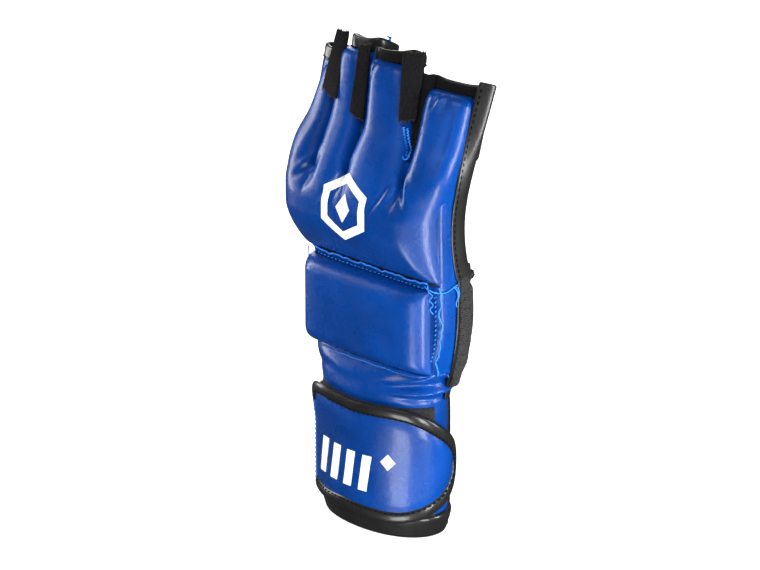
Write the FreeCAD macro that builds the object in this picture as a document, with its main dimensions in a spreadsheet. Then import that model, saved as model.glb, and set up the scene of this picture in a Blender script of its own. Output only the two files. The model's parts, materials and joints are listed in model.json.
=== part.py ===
"""Open-finger grappling glove for the left hand, standing on its cuff with the fingers up.

+X points to the thumb side, -Y out of the back of the hand, +Z along the fingers. The origin is the centre
of the wrist opening, in the plane of the cuff's hem. All sizes are in millimetres.

Four rigid groups are joined by three hinges: the cuff, the closure strap that swings off the cuff, the hand
above the wrist crease, and the four finger stalls, which are sewn to each other and curl together.
"""

import FreeCAD, Part
import math
import os

import Sketcher
from FreeCAD import Placement, Rotation, Vector

SIZES = {
    # cuff: an oval tube made of layers, each a little further out than the last
    "wrist_half_width": 33.5,
    "wrist_half_depth": 18.5,
    "lining_thickness": 0.8,
    "panel_thickness": 2.4,
    "pile_thickness": 1.0,
    "closure_gap": 0.3,
    "hook_thickness": 0.9,
    "backing_thickness": 0.8,
    "leather_thickness": 1.3,
    "elastic_thickness": 1.2,
    "elastic_edge": 9,
    "pile_left": 30.5,
    "pile_right": 35,
    "binding_bulge": 0.6,
    "cuff_height": 72.5,
    "hem_height": 9,
    "hem_fold": 1,
    # closure strap: its seam is on the little finger's side and its tongue ends round on the thumb's side
    "strap_bottom": 8,
    "strap_height": 62.5,
    "strap_binding_width": 6,
    "tongue_straight": 5,
    "tongue_length": 18.5,
    "tongue_facing": 65,
    "parting_angle": 16,
    "parting_offset": 3.4,
    "parting_gap": 1.0,
    "anchor_end": 24,
    # hand
    "hand_bottom": 83.5,
    "hand_top": 196,
    "little_wrist": 36,
    "little_wide": 42,
    "little_taper": 100,
    "thumb_wrist": 40,
    "thumb_wide": 48,
    "thumb_taper": 18,
    "back_depth": 14,
    "palm_depth": 16,
    "shell_thickness": 2.2,
    "palm_thickness": 1.8,
    "side_thickness": 1.8,
    "thumb_opening_bottom": 146,
    "thumb_wrap_depth": 2,
    "thumb_binding_depth": 7,
    "thumb_binding_top": 193,
    # rectangular pad on the back of the hand
    "pad_left": 36.5,
    "pad_right": 44.5,
    "pad_bottom": 92,
    "pad_top": 138,
    "pad_depth": 9.5,
    "pad_flange": 3,
    "flange_thickness": 1.2,
    "stitch_pitch": 4,
    "stitch_length": 2.4,
    "stitch_radius": 0.35,
    # knuckle pad
    "knuckle_bottom": 142,
    "knuckle_top": 199,
    "knuckle_left": 47,
    "knuckle_right": 49,
    "knuckle_depth": 15,
    "cover_thickness": 1.3,
    # palm openings
    "palm_window_radius": 19,
    "palm_window_side": 11,
    "palm_window_height": 136,
    "thumb_hole_radius": 30,
    "thumb_hole_side": 51,
    "thumb_hole_height": 160,
    "palm_top": 187,
    "edging_width": 2.4,
    # finger stalls
    "curl_axis_height": 200,
    "curl_axis_depth": 3,
    "rest_curl": 17,
    "stall_depth": 18,
    "stall_thickness": 1.6,
    "stall_base": 8,
    "finger_pad_depth": 10,
    "finger_pad_base": -3,
    "finger_pad_overhang": 1,
    "rim_height": 8,
    "gusset_height": 36,
    "gusset_thickness": 2.0,
    "gusset_front": 9,
    "gusset_rear": 17.5,
    "edge_binding_thickness": 2.2,
    "edge_binding_width": 9,
}

# Each stall: the middle of its back face, the angle it faces (towards the thumb is positive), how far it leans
# towards the little finger, its width and the height of its rim, measured before the stalls are curled.
STALLS = {
    "little": {"side": -39.2, "depth": -11.0, "facing": -9, "lean": 2, "width": 16.0, "length": 39.5},
    "ring": {"side": -14.5, "depth": -14.0, "facing": -2, "lean": 6, "width": 17.5, "length": 49.9},
    "middle": {"side": 11.5, "depth": -14.5, "facing": 7, "lean": 9, "width": 19.0, "length": 48.6},
    "index": {"side": 38.9, "depth": -3.0, "facing": 20, "lean": 0, "width": 25.0, "length": 41.0},
}

# Each gusset: the point between two stalls' back faces, the angles of its plane and the height of its top.
GUSSETS = {
    "little_ring": {"side": -27.9, "depth": -12.6, "facing": -5.5, "lean": 3.2, "length": 50.4},
    "ring_middle": {"side": -1.9, "depth": -15.0, "facing": 2.5, "lean": 7.4, "length": 50.4},
    "middle_index": {"side": 25.1, "depth": -10.2, "facing": 13, "lean": 10.8, "length": 49.4},
}

DOC = FreeCAD.newDocument("grappling_glove")
SHEET = DOC.addObject("Spreadsheet::Sheet", "Sizes")
KEPT = []


# ---- helpers ----------------------------------------------------------------------------------------------


def fill_sheet():
    """Puts the driving dimensions in the spreadsheet, with those of each stall and gusset."""
    cells = dict(SIZES)
    for name, sizes in list(STALLS.items()) + list(GUSSETS.items()):
        for key, size in sizes.items():
            cells[f"{name}_{key}"] = size
    for row, (alias, size) in enumerate(cells.items(), start=1):
        SHEET.set(f"A{row}", alias)
        SHEET.set(f"B{row}", str(size))
        SHEET.setAlias(f"B{row}", alias)
    DOC.recompute()


def full(expression):
    """Writes the short names of an expression as references to the spreadsheet."""
    words = []
    for word in expression.replace("(", "( ").replace(")", " )").split():
        name = word.lstrip("-")
        known = SHEET.getCellFromAlias(name) if name.isidentifier() else None
        words.append(word.replace(name, "Sizes." + name) if known else word)
    return " ".join(words)


def value(expression):
    """The number that an expression gives now."""
    return float(SHEET.evalExpression(full(expression)))


def bind(thing, **expressions):
    """Binds properties to expressions. A double underscore in a property's name stands for a dot."""
    for name, expression in expressions.items():
        thing.setExpression(name.replace("__", "."), full(expression))


def keep(thing, label):
    """Marks a finished sub-part. Its label names its file."""
    thing.Label = label
    KEPT.append(thing)
    return thing


def block(name, x, y, z):
    """A box from pairs of expressions, (low, high) along each axis."""
    box = DOC.addObject("Part::Box", name)
    for size, axis, (low, high) in zip(("Length", "Width", "Height"), "xyz", (x, y, z)):
        bind(box, **{size: f"( {high} ) - ( {low} )", f"Placement__Base__{axis}": low})
    return box


def combine(kind, name, base, tool):
    """A boolean of two objects: kind is Cut, Fuse or Common."""
    result = DOC.addObject("Part::" + kind, name)
    result.Base = base
    result.Tool = tool
    return result


def oval_core(name, grow, z):
    """The wrist opening's oval grown by an expression, extruded between two heights."""
    oval = DOC.addObject("Part::Ellipse", name + "_oval")
    bind(
        oval,
        MajorRadius="wrist_half_width + " + grow,
        MinorRadius="wrist_half_depth + " + grow,
        Placement__Base__z=z[0],
    )
    core = DOC.addObject("Part::Extrusion", name)
    core.Base = oval
    core.DirMode = "Custom"
    core.Dir = Vector(0, 0, 1)
    core.Solid = True
    bind(core, LengthFwd=f"( {z[1]} ) - ( {z[0]} )")
    return core


def oval_tube(name, inner, outer, z):
    """One layer of the cuff, between two growths of the oval."""
    return combine("Cut", name, oval_core(name + "_outside", outer, z), oval_core(name + "_inside", inner, z))


def new_sketch(body, role):
    """An empty sketch on the body's own origin plane with that role."""
    sketch = body.newObject("Sketcher::SketchObject", body.Name + "_sketch")
    plane = next(f for f in body.Origin.OriginFeatures if f.Role == role)
    sketch.AttachmentSupport = [(plane, "")]
    sketch.MapMode = "FlatFace"
    return sketch


def pin(sketch, geometry, point, across, along):
    """Holds a sketch point at two distances from the sketch's origin, each an expression."""
    for kind, expression in (("DistanceX", across), ("DistanceY", along)):
        index = sketch.addConstraint(Sketcher.Constraint(kind, -1, 1, geometry, point, value(expression)))
        sketch.setExpression(f"Constraints[{index}]", full(expression))


def draw_polygon(sketch, corners):
    """A closed polygon whose corners are pairs of expressions."""
    places = [Vector(value(a), value(b), 0) for a, b in corners]
    first = sketch.GeometryCount
    count = len(corners)
    for i in range(count):
        sketch.addGeometry(Part.LineSegment(places[i], places[(i + 1) % count]))
    for i in range(count):
        following = first + (i + 1) % count
        sketch.addConstraint(Sketcher.Constraint("Coincident", first + i, 2, following, 1))
    for i, (across, along) in enumerate(corners):
        pin(sketch, first + i, 1, across, along)


def draw_circle(sketch, across, along, radius):
    """A circle placed and sized by expressions."""
    centre = Vector(value(across), value(along), 0)
    index = sketch.addGeometry(Part.Circle(centre, Vector(0, 0, 1), value(radius)))
    pin(sketch, index, 3, across, along)
    size = sketch.addConstraint(Sketcher.Constraint("Radius", index, value(radius)))
    sketch.setExpression(f"Constraints[{size}]", full(radius))


def prism(name, role, polygons, length, start="0", circles=()):
    """A padded sketch on an origin plane. Its first polygon is the outline and the rest are openings."""
    body = DOC.addObject("PartDesign::Body", name)
    sketch = new_sketch(body, role)
    bind(sketch, AttachmentOffset__Base__z=start)
    for corners in polygons:
        draw_polygon(sketch, corners)
    for circle in circles:
        draw_circle(sketch, *circle)
    pad = body.newObject("PartDesign::Pad", name + "_pad")
    pad.Profile = sketch
    bind(pad, Length=length)
    sketch.Visibility = False
    DOC.recompute()
    return body


def rectangle(x, y):
    """Corners of a rectangle from two pairs of expressions."""
    return [(x[0], y[0]), (x[1], y[0]), (x[1], y[1]), (x[0], y[1])]


def round_edges(body, radius, wanted):
    """Fillets the body's edges for which wanted(middle point, direction) is true."""
    tip = body.Tip
    names = []
    for i, edge in enumerate(tip.Shape.Edges, start=1):
        middle = edge.valueAt((edge.FirstParameter + edge.LastParameter) / 2)
        direction = edge.tangentAt(edge.FirstParameter)
        if wanted(middle, direction):
            names.append(f"Edge{i}")
    fillet = body.newObject("PartDesign::Fillet", body.Name + "_fillet")
    fillet.Base = (tip, names)
    bind(fillet, Radius=radius)
    DOC.recompute()
    return body


# ---- cuff -------------------------------------------------------------------------------------------------

FAR = "100"
LINING_OUT = "lining_thickness"
PANEL_OUT = LINING_OUT + " + panel_thickness"
PILE_OUT = PANEL_OUT + " + pile_thickness"
STRAP_IN = PILE_OUT + " + closure_gap"
HOOK_OUT = STRAP_IN + " + hook_thickness"
BACKING_OUT = HOOK_OUT + " + backing_thickness"
STRAP_OUT = BACKING_OUT + " + leather_thickness"
ELASTIC_OUT = PANEL_OUT + " + elastic_thickness"
STRAP_TOP = "strap_bottom + strap_height"


def make_cuff():
    wall = ("hem_fold", "cuff_height")
    front = block("cuff_front_half", ("-100", FAR), ("-100", "0"), ("0", FAR))
    rear = block("cuff_rear_half", ("-100", FAR), ("0", FAR), ("0", FAR))
    keep(oval_tube("cuff_lining", "0", LINING_OUT, wall), "cuff_lining")
    panel = oval_tube("cuff_panel", LINING_OUT, PANEL_OUT, wall)
    keep(combine("Common", "cuff_dorsal", panel, front), "cuff_dorsal_panel")
    keep(combine("Common", "cuff_palmar", panel, rear), "cuff_palmar_panel")

    outside = oval_tube("hem_outside", "-binding_bulge", PANEL_OUT + " + binding_bulge", ("0", "hem_height"))
    groove = oval_tube("hem_groove", "0", PANEL_OUT, ("hem_fold", "hem_height"))
    keep(combine("Cut", "hem", outside, groove), "cuff_hem_binding")

    pile = oval_tube("pile_layer", PANEL_OUT, PILE_OUT, ("hem_height + 1", "cuff_height"))
    patch = block("pile_patch", ("-pile_left", "pile_right"), ("-100", "-6"), ("0", FAR))
    keep(combine("Common", "pile", pile, patch), "loop_pile_patch")

    height = ("hem_height + 0.5", STRAP_TOP)
    elastic = oval_tube("elastic_layer", PANEL_OUT, ELASTIC_OUT, height)
    rear_zone = block("elastic_reach", ("-100", FAR), ("elastic_edge", FAR), ("0", FAR))
    keep(combine("Common", "elastic", elastic, rear_zone), "cuff_elastic_band")

    band = oval_tube("band_layer", PANEL_OUT, STRAP_OUT, height)
    over_elastic = combine("Cut", "band_over_elastic", band, elastic_space(height))
    reach = block("band_reach", ("-100", "anchor_end"), ("-100", FAR), ("0", FAR))
    zone = combine("Cut", "band_zone", reach, strap_side("band_limit", "parting_gap / 2"))
    keep(combine("Common", "band", over_elastic, zone), "strap_anchor_band")


def elastic_space(height):
    """The space that the elastic band takes, to cut from the layer over it."""
    layer = oval_tube("elastic_space_layer", PANEL_OUT, ELASTIC_OUT, height)
    zone = block("elastic_space_reach", ("-100", FAR), ("elastic_edge", FAR), ("0", FAR))
    return combine("Common", "elastic_taken", layer, zone)


def strap_side(name, shift):
    """A block on the strap's side of the parting plane, moved off the plane by an expression."""
    half = DOC.addObject("Part::Box", name)
    turn = Rotation(Vector(0, 0, 1), value("parting_angle"))
    half.Placement = Placement(Vector(0, 0, -1), turn)
    across = turn.multVec(Vector(-100, -200, 0))
    half.Placement.Base = Vector(across.x, across.y, -1)
    bind(
        half,
        Length="200",
        Width="200",
        Height="200",
        Placement__Base__y=f"{across.y} - parting_offset + ( {shift} )",
    )
    return half


def tongue_outline(name, inset):
    """The strap's outline with its rounded end, as a solid block that faces the tongue."""
    low = "strap_bottom + " + inset
    high = STRAP_TOP + " - " + inset
    straight = block(name + "_straight", ("-100", "tongue_straight"), ("-100", FAR), (low, high))
    oval = DOC.addObject("Part::Ellipse", name + "_end_oval")
    oval.Placement = Placement(Vector(0, -100, 0), Rotation(Vector(1, 1, 1), 240))
    bind(
        oval,
        MajorRadius="strap_height / 2 - " + inset,
        MinorRadius="tongue_length - " + inset,
        Placement__Base__x="tongue_straight",
        Placement__Base__z="strap_bottom + strap_height / 2",
    )
    end = DOC.addObject("Part::Extrusion", name + "_end")
    end.Base = oval
    end.DirMode = "Custom"
    end.Dir = Vector(0, 1, 0)
    end.Solid = True
    bind(end, LengthFwd="200")
    outline = combine("Fuse", name, straight, end)
    outline.Placement = Placement(Vector(), Rotation(Vector(0, 0, 1), value("tongue_facing")))
    return combine("Common", name + "_zone", outline, strap_side(name + "_limit", "-parting_gap / 2"))


def make_strap():
    z = ("strap_bottom", STRAP_TOP)
    whole = tongue_outline("strap_outline", "0")
    middle = tongue_outline("strap_middle", "strap_binding_width")
    face = oval_tube("face_layer", BACKING_OUT, STRAP_OUT, z)
    keep(combine("Common", "face", face, middle), "strap_face")
    backing = oval_tube("backing_layer", HOOK_OUT, BACKING_OUT, z)
    keep(combine("Common", "backing", backing, middle), "strap_backing")
    hook = oval_tube("hook_layer", STRAP_IN, HOOK_OUT, z)
    hook_zone = block("hook_zone", ("4", FAR), ("-100", "0"), ("0", FAR))
    hook_outline = combine("Common", "hook_outline", middle, hook_zone)
    keep(combine("Common", "hook", hook, hook_outline), "strap_hook_patch")
    rim = oval_tube("rim_layer", STRAP_IN, STRAP_OUT + " + binding_bulge", z)
    frame = combine("Cut", "strap_frame", whole, middle)
    keep(combine("Common", "strap_rim", rim, frame), "strap_edge_binding")


# ---- hand -------------------------------------------------------------------------------------------------


def hand_outline(inset, top="hand_top"):
    """The back panel's outline in the XZ plane: narrow at the wrist and parallel above it."""
    return [
        (f"-( little_wrist - {inset} )", "hand_bottom"),
        (f"thumb_wrist - {inset}", "hand_bottom"),
        (f"thumb_wide - {inset}", "hand_bottom + thumb_taper"),
        (f"thumb_wide - {inset}", top),
        (f"-( little_wide - {inset} )", top),
        (f"-( little_wide - {inset} )", "hand_bottom + little_taper"),
    ]


def side_strip(side, top):
    """A bent strip just outside the back panel's edge, on the little finger's side or the thumb's side."""
    sign = -1 if side == "little" else 1
    inner = [(f"{side}_wrist", "hand_bottom"), (f"{side}_wide", f"hand_bottom + {side}_taper"),
             (f"{side}_wide", top)]
    outer = [(x + " + side_thickness", z) for x, z in reversed(inner)]
    return [(f"{sign} * ( {x} )", z) for x, z in inner + outer]


def make_hand_shell():
    back = prism("back_panel", "XZ_Plane", [hand_outline("0")], "shell_thickness", "back_depth")
    keep(back, "dorsal_panel")
    lining = prism("back_lining", "XZ_Plane", [hand_outline("1")], "lining_thickness",
                   "back_depth - lining_thickness")
    keep(lining, "dorsal_lining")

    whole = "back_depth + shell_thickness + palm_depth + palm_thickness"
    rear = "-( palm_depth + palm_thickness )"
    keep(prism("little_side", "XZ_Plane", [side_strip("little", "hand_top")], whole, rear), "little_side_panel")
    wrap = prism("thumb_side_front", "XZ_Plane", [side_strip("thumb", "hand_top")],
                 "back_depth + shell_thickness - thumb_wrap_depth", "thumb_wrap_depth")
    keep(wrap, "thumb_side_wrap")
    elastic = prism("thumb_side_rear", "XZ_Plane", [side_strip("thumb", "thumb_opening_bottom")],
                    "thumb_wrap_depth + palm_depth + palm_thickness", rear)
    keep(elastic, "thumb_side_elastic")
    binding = block(
        "thumb_binding",
        ("thumb_wide - 0.2", "thumb_wide + edge_binding_thickness"),
        ("-thumb_wrap_depth", "thumb_binding_depth"),
        ("thumb_opening_bottom", "thumb_binding_top"),
    )
    keep(binding, "thumb_edge_binding")


def make_palm():
    """The palm panel, with a round grip window and the thumb's cut-out, and the edging round each."""
    outline = hand_outline("0", "palm_top")
    window = ("-palm_window_side", "palm_window_height", "palm_window_radius")
    panel = prism("palm", "XZ_Plane", [outline], "palm_thickness", "-palm_depth - palm_thickness", [window])
    thumb = DOC.addObject("Part::Cylinder", "thumb_hole")
    thumb.Placement = Placement(Vector(0, 100, 0), Rotation(Vector(1, 0, 0), 90))
    bind(
        thumb,
        Radius="thumb_hole_radius",
        Height="200",
        Placement__Base__x="thumb_hole_side",
        Placement__Base__z="thumb_hole_height",
    )
    keep(combine("Cut", "palm_cut", panel, thumb), "palm_panel")

    start = "-palm_depth - palm_thickness - edging_width / 2"
    ring = prism("window_edging", "XZ_Plane", [], "edging_width / 2", start,
                 [window, (window[0], window[1], "palm_window_radius + edging_width")])
    keep(ring, "palm_window_binding")
    arc = prism("thumb_edging", "XZ_Plane", [], "edging_width / 2", start,
                [("thumb_hole_side", "thumb_hole_height", "thumb_hole_radius"),
                 ("thumb_hole_side", "thumb_hole_height", "thumb_hole_radius + edging_width")])
    on_palm = prism("palm_shadow", "XZ_Plane", [outline], "40", "-palm_depth - 30")
    keep(combine("Common", "thumb_edging_cut", arc, on_palm), "thumb_hole_binding")


def make_hand_pad():
    """The rectangular pad: a foam slab under a leather cover with a sewn flange, and the thread round it."""
    back = "back_depth + shell_thickness"
    x, z = ("-pad_left", "pad_right"), ("pad_bottom", "pad_top")
    outer = prism("pad_outside", "XZ_Plane", [rectangle(x, z)], "pad_depth", back)
    front = -value(back + " + pad_depth")
    round_edges(outer, "4", lambda p, d: abs(p.y - front) < 0.01)
    inset_x = ("-pad_left + cover_thickness", "pad_right - cover_thickness")
    inset_z = ("pad_bottom + cover_thickness", "pad_top - cover_thickness")
    foam = prism("pad_foam", "XZ_Plane", [rectangle(inset_x, inset_z)], "pad_depth - cover_thickness", back)
    front_foam = front + value("cover_thickness")
    round_edges(foam, "3", lambda p, d: abs(p.y - front_foam) < 0.01)
    keep(foam, "hand_pad_foam")
    flange = block(
        "pad_flange_plate",
        ("-pad_left - 2", "pad_right + pad_flange"),
        (f"-( {back} + flange_thickness )", f"-( {back} )"),
        ("pad_bottom - pad_flange", "pad_top + pad_flange"),
    )
    cover = combine("Fuse", "pad_whole", outer, flange)
    keep(combine("Cut", "pad_cover", cover, foam), "hand_pad_cover")
    keep(stitches_round_pad(), "hand_pad_stitching")


def stitches_round_pad():
    """Thread stitches on the flange, along the pad's top and bottom seams and its thumb-side seam."""
    radius, length = value("stitch_radius"), value("stitch_length")
    pitch = value("stitch_pitch")
    y = -value("back_depth + shell_thickness + flange_thickness") - radius - 0.02
    left, right = value("-pad_left"), value("pad_right")
    bottom, top = value("pad_bottom - pad_flange / 2"), value("pad_top + pad_flange / 2")
    threads = []
    for height in (bottom, top):
        for i in range(int((right - left) / pitch)):
            start = Vector(left + i * pitch, y, height)
            threads.append(Part.makeCylinder(radius, length, start, Vector(1, 0, 0)))
    for i in range(1, int((top - bottom) / pitch)):
        start = Vector(right + 1.5, y, bottom + i * pitch)
        threads.append(Part.makeCylinder(radius, length, start, Vector(0, 0, 1)))
    stitching = DOC.addObject("Part::Feature", "pad_stitches")
    stitching.Shape = Part.makeCompound(threads)
    return stitching


def knuckle_profile(inset):
    """The knuckle pad's section in the YZ plane: (distance along Y, height), bulging most at two thirds."""
    back = "back_depth + shell_thickness"
    depth = "knuckle_depth - " + inset
    low, high = "knuckle_bottom + " + inset, "knuckle_top - " + inset
    return [
        (f"-( {back} )", low),
        (f"-( {back} + 0.45 * ( {depth} ) )", low),
        (f"-( {back} + 0.85 * ( {depth} ) )", f"{low} + 10"),
        (f"-( {back} + {depth} )", f"{low} + 26"),
        (f"-( {back} + 0.85 * ( {depth} ) )", f"{high} - 13"),
        (f"-( {back} + 0.40 * ( {depth} ) )", high),
        (f"-( {back} )", high),
    ]


def make_knuckle_pad():
    width = "knuckle_left + knuckle_right"
    outer = prism("knuckle_outside", "YZ_Plane", [knuckle_profile("0")], width, "-knuckle_left")
    foam = prism("knuckle_foam", "YZ_Plane", [knuckle_profile("cover_thickness")],
                 width + " - 2 * cover_thickness", "cover_thickness - knuckle_left")
    keep(foam, "knuckle_pad_foam")
    keep(combine("Cut", "knuckle_cover", outer, foam), "knuckle_pad_cover")


# ---- finger stalls ----------------------------------------------------------------------------------------
#
# Every stall is drawn in its own frame, with its back face in the plane y = 0, its palm side towards +y and
# its base at the height 0. The frames stand side by side along the knuckles and are curled together, which
# is how the glove rests when nobody wears it.


def stand(thing, name):
    """Sets a sub-part drawn in the frame of a stall or gusset at its place above the knuckles."""
    curl = Rotation(Vector(1, 0, 0), -value("rest_curl"))
    facing = Rotation(Vector(0, 0, 1), value(name + "_facing"))
    lean = Rotation(Vector(0, 1, 0), -value(name + "_lean"))
    thing.Placement = Placement(Vector(), curl.multiply(facing).multiply(lean))
    bind(
        thing,
        Placement__Base__x=name + "_side",
        Placement__Base__y=f"curl_axis_depth + {name}_depth * cos( rest_curl * 1 deg )",
        Placement__Base__z=f"curl_axis_height - {name}_depth * sin( rest_curl * 1 deg )",
    )
    return thing


def make_finger_pad(finger):
    half = f"{finger}_width / 2 + finger_pad_overhang"
    low, high = "finger_pad_base", f"{finger}_length - rim_height"
    inset = "cover_thickness"
    outline = rectangle((f"-( {half} )", half), (low, high))
    outer = prism(f"{finger}_pad_outside", "XZ_Plane", [outline], "finger_pad_depth")
    front = -value("finger_pad_depth")
    round_edges(outer, "4", lambda p, d: abs(p.y - front) < 0.01)
    inner = rectangle((f"-( {half} - {inset} )", f"{half} - {inset}"), (f"{low} + {inset}", f"{high} - {inset}"))
    foam = prism(f"{finger}_foam", "XZ_Plane", [inner], f"finger_pad_depth - {inset}")
    front_foam = front + value(inset)
    round_edges(foam, "3", lambda p, d: abs(p.y - front_foam) < 0.01)
    keep(stand(foam, finger), f"{finger}_finger_foam")
    keep(combine("Cut", f"{finger}_cover", stand(outer, finger), foam), f"{finger}_finger_pad_cover")


def make_stall(finger):
    """The palm side of one finger stall. The two outer fingers have a side wall too."""
    half, wall, depth = f"{finger}_width / 2", "stall_thickness", "stall_depth"
    if finger in ("ring", "middle"):
        corners = rectangle((f"-{half}", half), (f"{depth} - {wall}", depth))
    else:
        sign = 1 if finger == "index" else -1
        corners = [
            (f"{-sign} * {half}", f"{depth} - {wall}"),
            (f"{sign} * ( {half} - {wall} )", f"{depth} - {wall}"),
            (f"{sign} * ( {half} - {wall} )", "0"),
            (f"{sign} * {half}", "0"),
            (f"{sign} * {half}", depth),
            (f"{-sign} * {half}", depth),
        ]
    height = f"{finger}_length - rim_height - stall_base"
    keep(stand(prism(f"{finger}_palm_side", "XY_Plane", [corners], height, "stall_base"), finger),
         f"{finger}_stall")


def make_rim(finger):
    """The binding round the mouth of one finger stall."""
    half, wall, depth = f"{finger}_width / 2", "stall_thickness", "stall_depth"
    outside = rectangle((f"-{half}", half), (f"-{wall}", depth))
    inside = rectangle((f"-( {half} - {wall} )", f"{half} - {wall}"), ("0", f"{depth} - {wall}"))
    rim = prism(f"{finger}_rim", "XY_Plane", [outside, inside], "rim_height", f"{finger}_length - rim_height")
    keep(stand(rim, finger), f"{finger}_rim_binding")


def make_gusset(pair):
    """The elastic strip between two stalls. It stands proud of the pads in front."""
    plan = rectangle(("-gusset_thickness / 2", "gusset_thickness / 2"), ("-gusset_front", "gusset_rear"))
    strip = prism(f"{pair}_strip", "XY_Plane", [plan], "gusset_height", f"{pair}_length - gusset_height")
    keep(stand(strip, pair), f"{pair}_gusset")


def make_edge_binding(finger):
    """The binding along the outer edge of the index or little stall."""
    sign = 1 if finger == "index" else -1
    half = f"{finger}_width / 2"
    x = (f"{sign} * {half}", f"{sign} * ( {half} + edge_binding_thickness )")
    plan = rectangle(x, ("1", "1 + edge_binding_width"))
    strip = prism(f"{finger}_edge", "XY_Plane", [plan], f"{finger}_length - 1", "1")
    keep(stand(strip, finger), f"{finger}_edge_binding")


def make_fingers():
    for finger in STALLS:
        make_finger_pad(finger)
        make_stall(finger)
        make_rim(finger)
    for pair in GUSSETS:
        make_gusset(pair)
    for finger in ("index", "little"):
        make_edge_binding(finger)


# ---- build and export -------------------------------------------------------------------------------------


def check_and_export():
    """Stops if anything failed to build, and otherwise writes one STEP file for each sub-part."""
    DOC.recompute()
    failed = [o.Label for o in DOC.Objects if "Invalid" in o.State or "Error" in o.State]
    bad = [o.Label for o in KEPT if o.Shape.isNull() or not o.Shape.isValid() or o.Shape.Volume <= 0]
    if failed or bad:
        raise SystemExit(f"not built: {failed}; not valid: {bad}")
    os.makedirs("parts", exist_ok=True)
    for old in os.listdir("parts"):
        if old.endswith(".step"):
            os.remove(os.path.join("parts", old))
    for thing in KEPT:
        thing.Shape.exportStep(f"parts/{thing.Label}.step")
        box = thing.Shape.BoundBox
        print(f"{thing.Label:28s} {len(thing.Shape.Solids):3d} solids  {thing.Shape.Volume / 1000:8.3f} cm3"
              f"  x {box.XMin:7.1f} {box.XMax:6.1f}  y {box.YMin:6.1f} {box.YMax:6.1f}"
              f"  z {box.ZMin:6.1f} {box.ZMax:6.1f}")


fill_sheet()
make_cuff()
make_strap()
make_hand_shell()
make_palm()
make_hand_pad()
make_knuckle_pad()
make_fingers()
check_and_export()
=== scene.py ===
"""Looks of an open-finger grappling glove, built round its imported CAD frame. Lengths below are in mm."""

import json
import math

import bmesh
import bpy
import numpy as np
from mathutils import Matrix, Vector
from mathutils.bvhtree import BVHTree


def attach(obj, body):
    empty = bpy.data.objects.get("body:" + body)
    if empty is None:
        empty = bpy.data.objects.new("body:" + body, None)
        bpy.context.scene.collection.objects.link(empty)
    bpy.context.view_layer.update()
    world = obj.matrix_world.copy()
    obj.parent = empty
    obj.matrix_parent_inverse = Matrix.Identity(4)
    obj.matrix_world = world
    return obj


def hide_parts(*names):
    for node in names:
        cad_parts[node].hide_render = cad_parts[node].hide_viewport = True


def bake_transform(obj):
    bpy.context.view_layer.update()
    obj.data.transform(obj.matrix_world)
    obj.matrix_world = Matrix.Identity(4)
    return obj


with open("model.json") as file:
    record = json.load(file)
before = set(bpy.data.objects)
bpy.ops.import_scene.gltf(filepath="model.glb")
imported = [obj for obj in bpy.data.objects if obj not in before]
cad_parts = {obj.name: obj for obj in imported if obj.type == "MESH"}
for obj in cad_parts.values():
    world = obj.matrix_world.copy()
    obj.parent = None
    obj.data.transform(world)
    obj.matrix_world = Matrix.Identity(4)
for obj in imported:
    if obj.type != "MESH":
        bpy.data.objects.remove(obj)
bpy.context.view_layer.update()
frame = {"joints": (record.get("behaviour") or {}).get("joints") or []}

MM = 0.001
JOINTS = {j["name"]: j for j in frame["joints"]}
KNUCKLE_AXIS = [c / MM for c in JOINTS["finger_flex"]["pos_m"]]
CURL = math.radians(17)
rng = np.random.default_rng(7)


# ---- small helpers


def smooth(t):
    t = np.clip(t, 0.0, 1.0)
    return t * t * (3 - 2 * t)


def mix(a, b, t):
    return a + (b - a) * t


def unit(v):
    v = np.asarray(v, float)
    return v / np.maximum(np.linalg.norm(v, axis=-1, keepdims=True), 1e-9)


def table(points, t):
    """Values at t, smoothly interpolated between (t, value...) rows."""
    rows = np.array(points, float)
    t = np.asarray(t, float)
    k = np.clip(np.searchsorted(rows[:, 0], t) - 1, 0, len(rows) - 2)
    x0, x1 = rows[k, 0], rows[k + 1, 0]
    f = np.clip((t - x0) / (x1 - x0), 0, 1)
    slope = np.gradient(rows[:, 1:], rows[:, 0], axis=0)
    out = []
    for c in range(rows.shape[1] - 1):
        p0, p1 = rows[k, c + 1], rows[k + 1, c + 1]
        m0, m1 = slope[k, c] * (x1 - x0), slope[k + 1, c] * (x1 - x0)
        out.append((2 * f**3 - 3 * f**2 + 1) * p0 + (f**3 - 2 * f**2 + f) * m0
                   + (-2 * f**3 + 3 * f**2) * p1 + (f**3 - f**2) * m1)
    return out[0] if len(out) == 1 else np.stack(out, axis=-1)


def run_along(points):
    """The distance covered at each point of a line."""
    return np.r_[0, np.cumsum(np.linalg.norm(np.diff(np.asarray(points, float), axis=0), axis=1))]


def spline(points, count):
    """Points spread evenly along a smooth curve through the given points."""
    distance = run_along(points)
    fine = table(np.c_[distance, points], np.linspace(0, distance[-1], 20 * len(points)))
    s = run_along(fine)
    goal = np.linspace(0, s[-1], count)
    return np.stack([np.interp(goal, s, column) for column in fine.T], axis=-1)


def linked(name, data):
    obj = bpy.data.objects.new(name, data)
    bpy.context.scene.collection.objects.link(obj)
    return obj


def new_object(name, points, faces, material):
    """A mesh object from points in mm."""
    mesh = bpy.data.meshes.new(name)
    mesh.from_pydata([tuple(p) for p in np.asarray(points, float) * MM], [], [tuple(f) for f in faces])
    mesh.validate()
    mesh.shade_smooth()
    mesh.materials.append(material)
    return linked(name, mesh)


def grid_faces(rows, columns, closed=False, offset=0):
    """Quads of a grid whose points run along its columns first."""
    last = columns if closed else columns - 1
    return [(offset + r * columns + c, offset + r * columns + (c + 1) % columns,
             offset + (r + 1) * columns + (c + 1) % columns, offset + (r + 1) * columns + c)
            for r in range(rows - 1) for c in range(last)]


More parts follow.
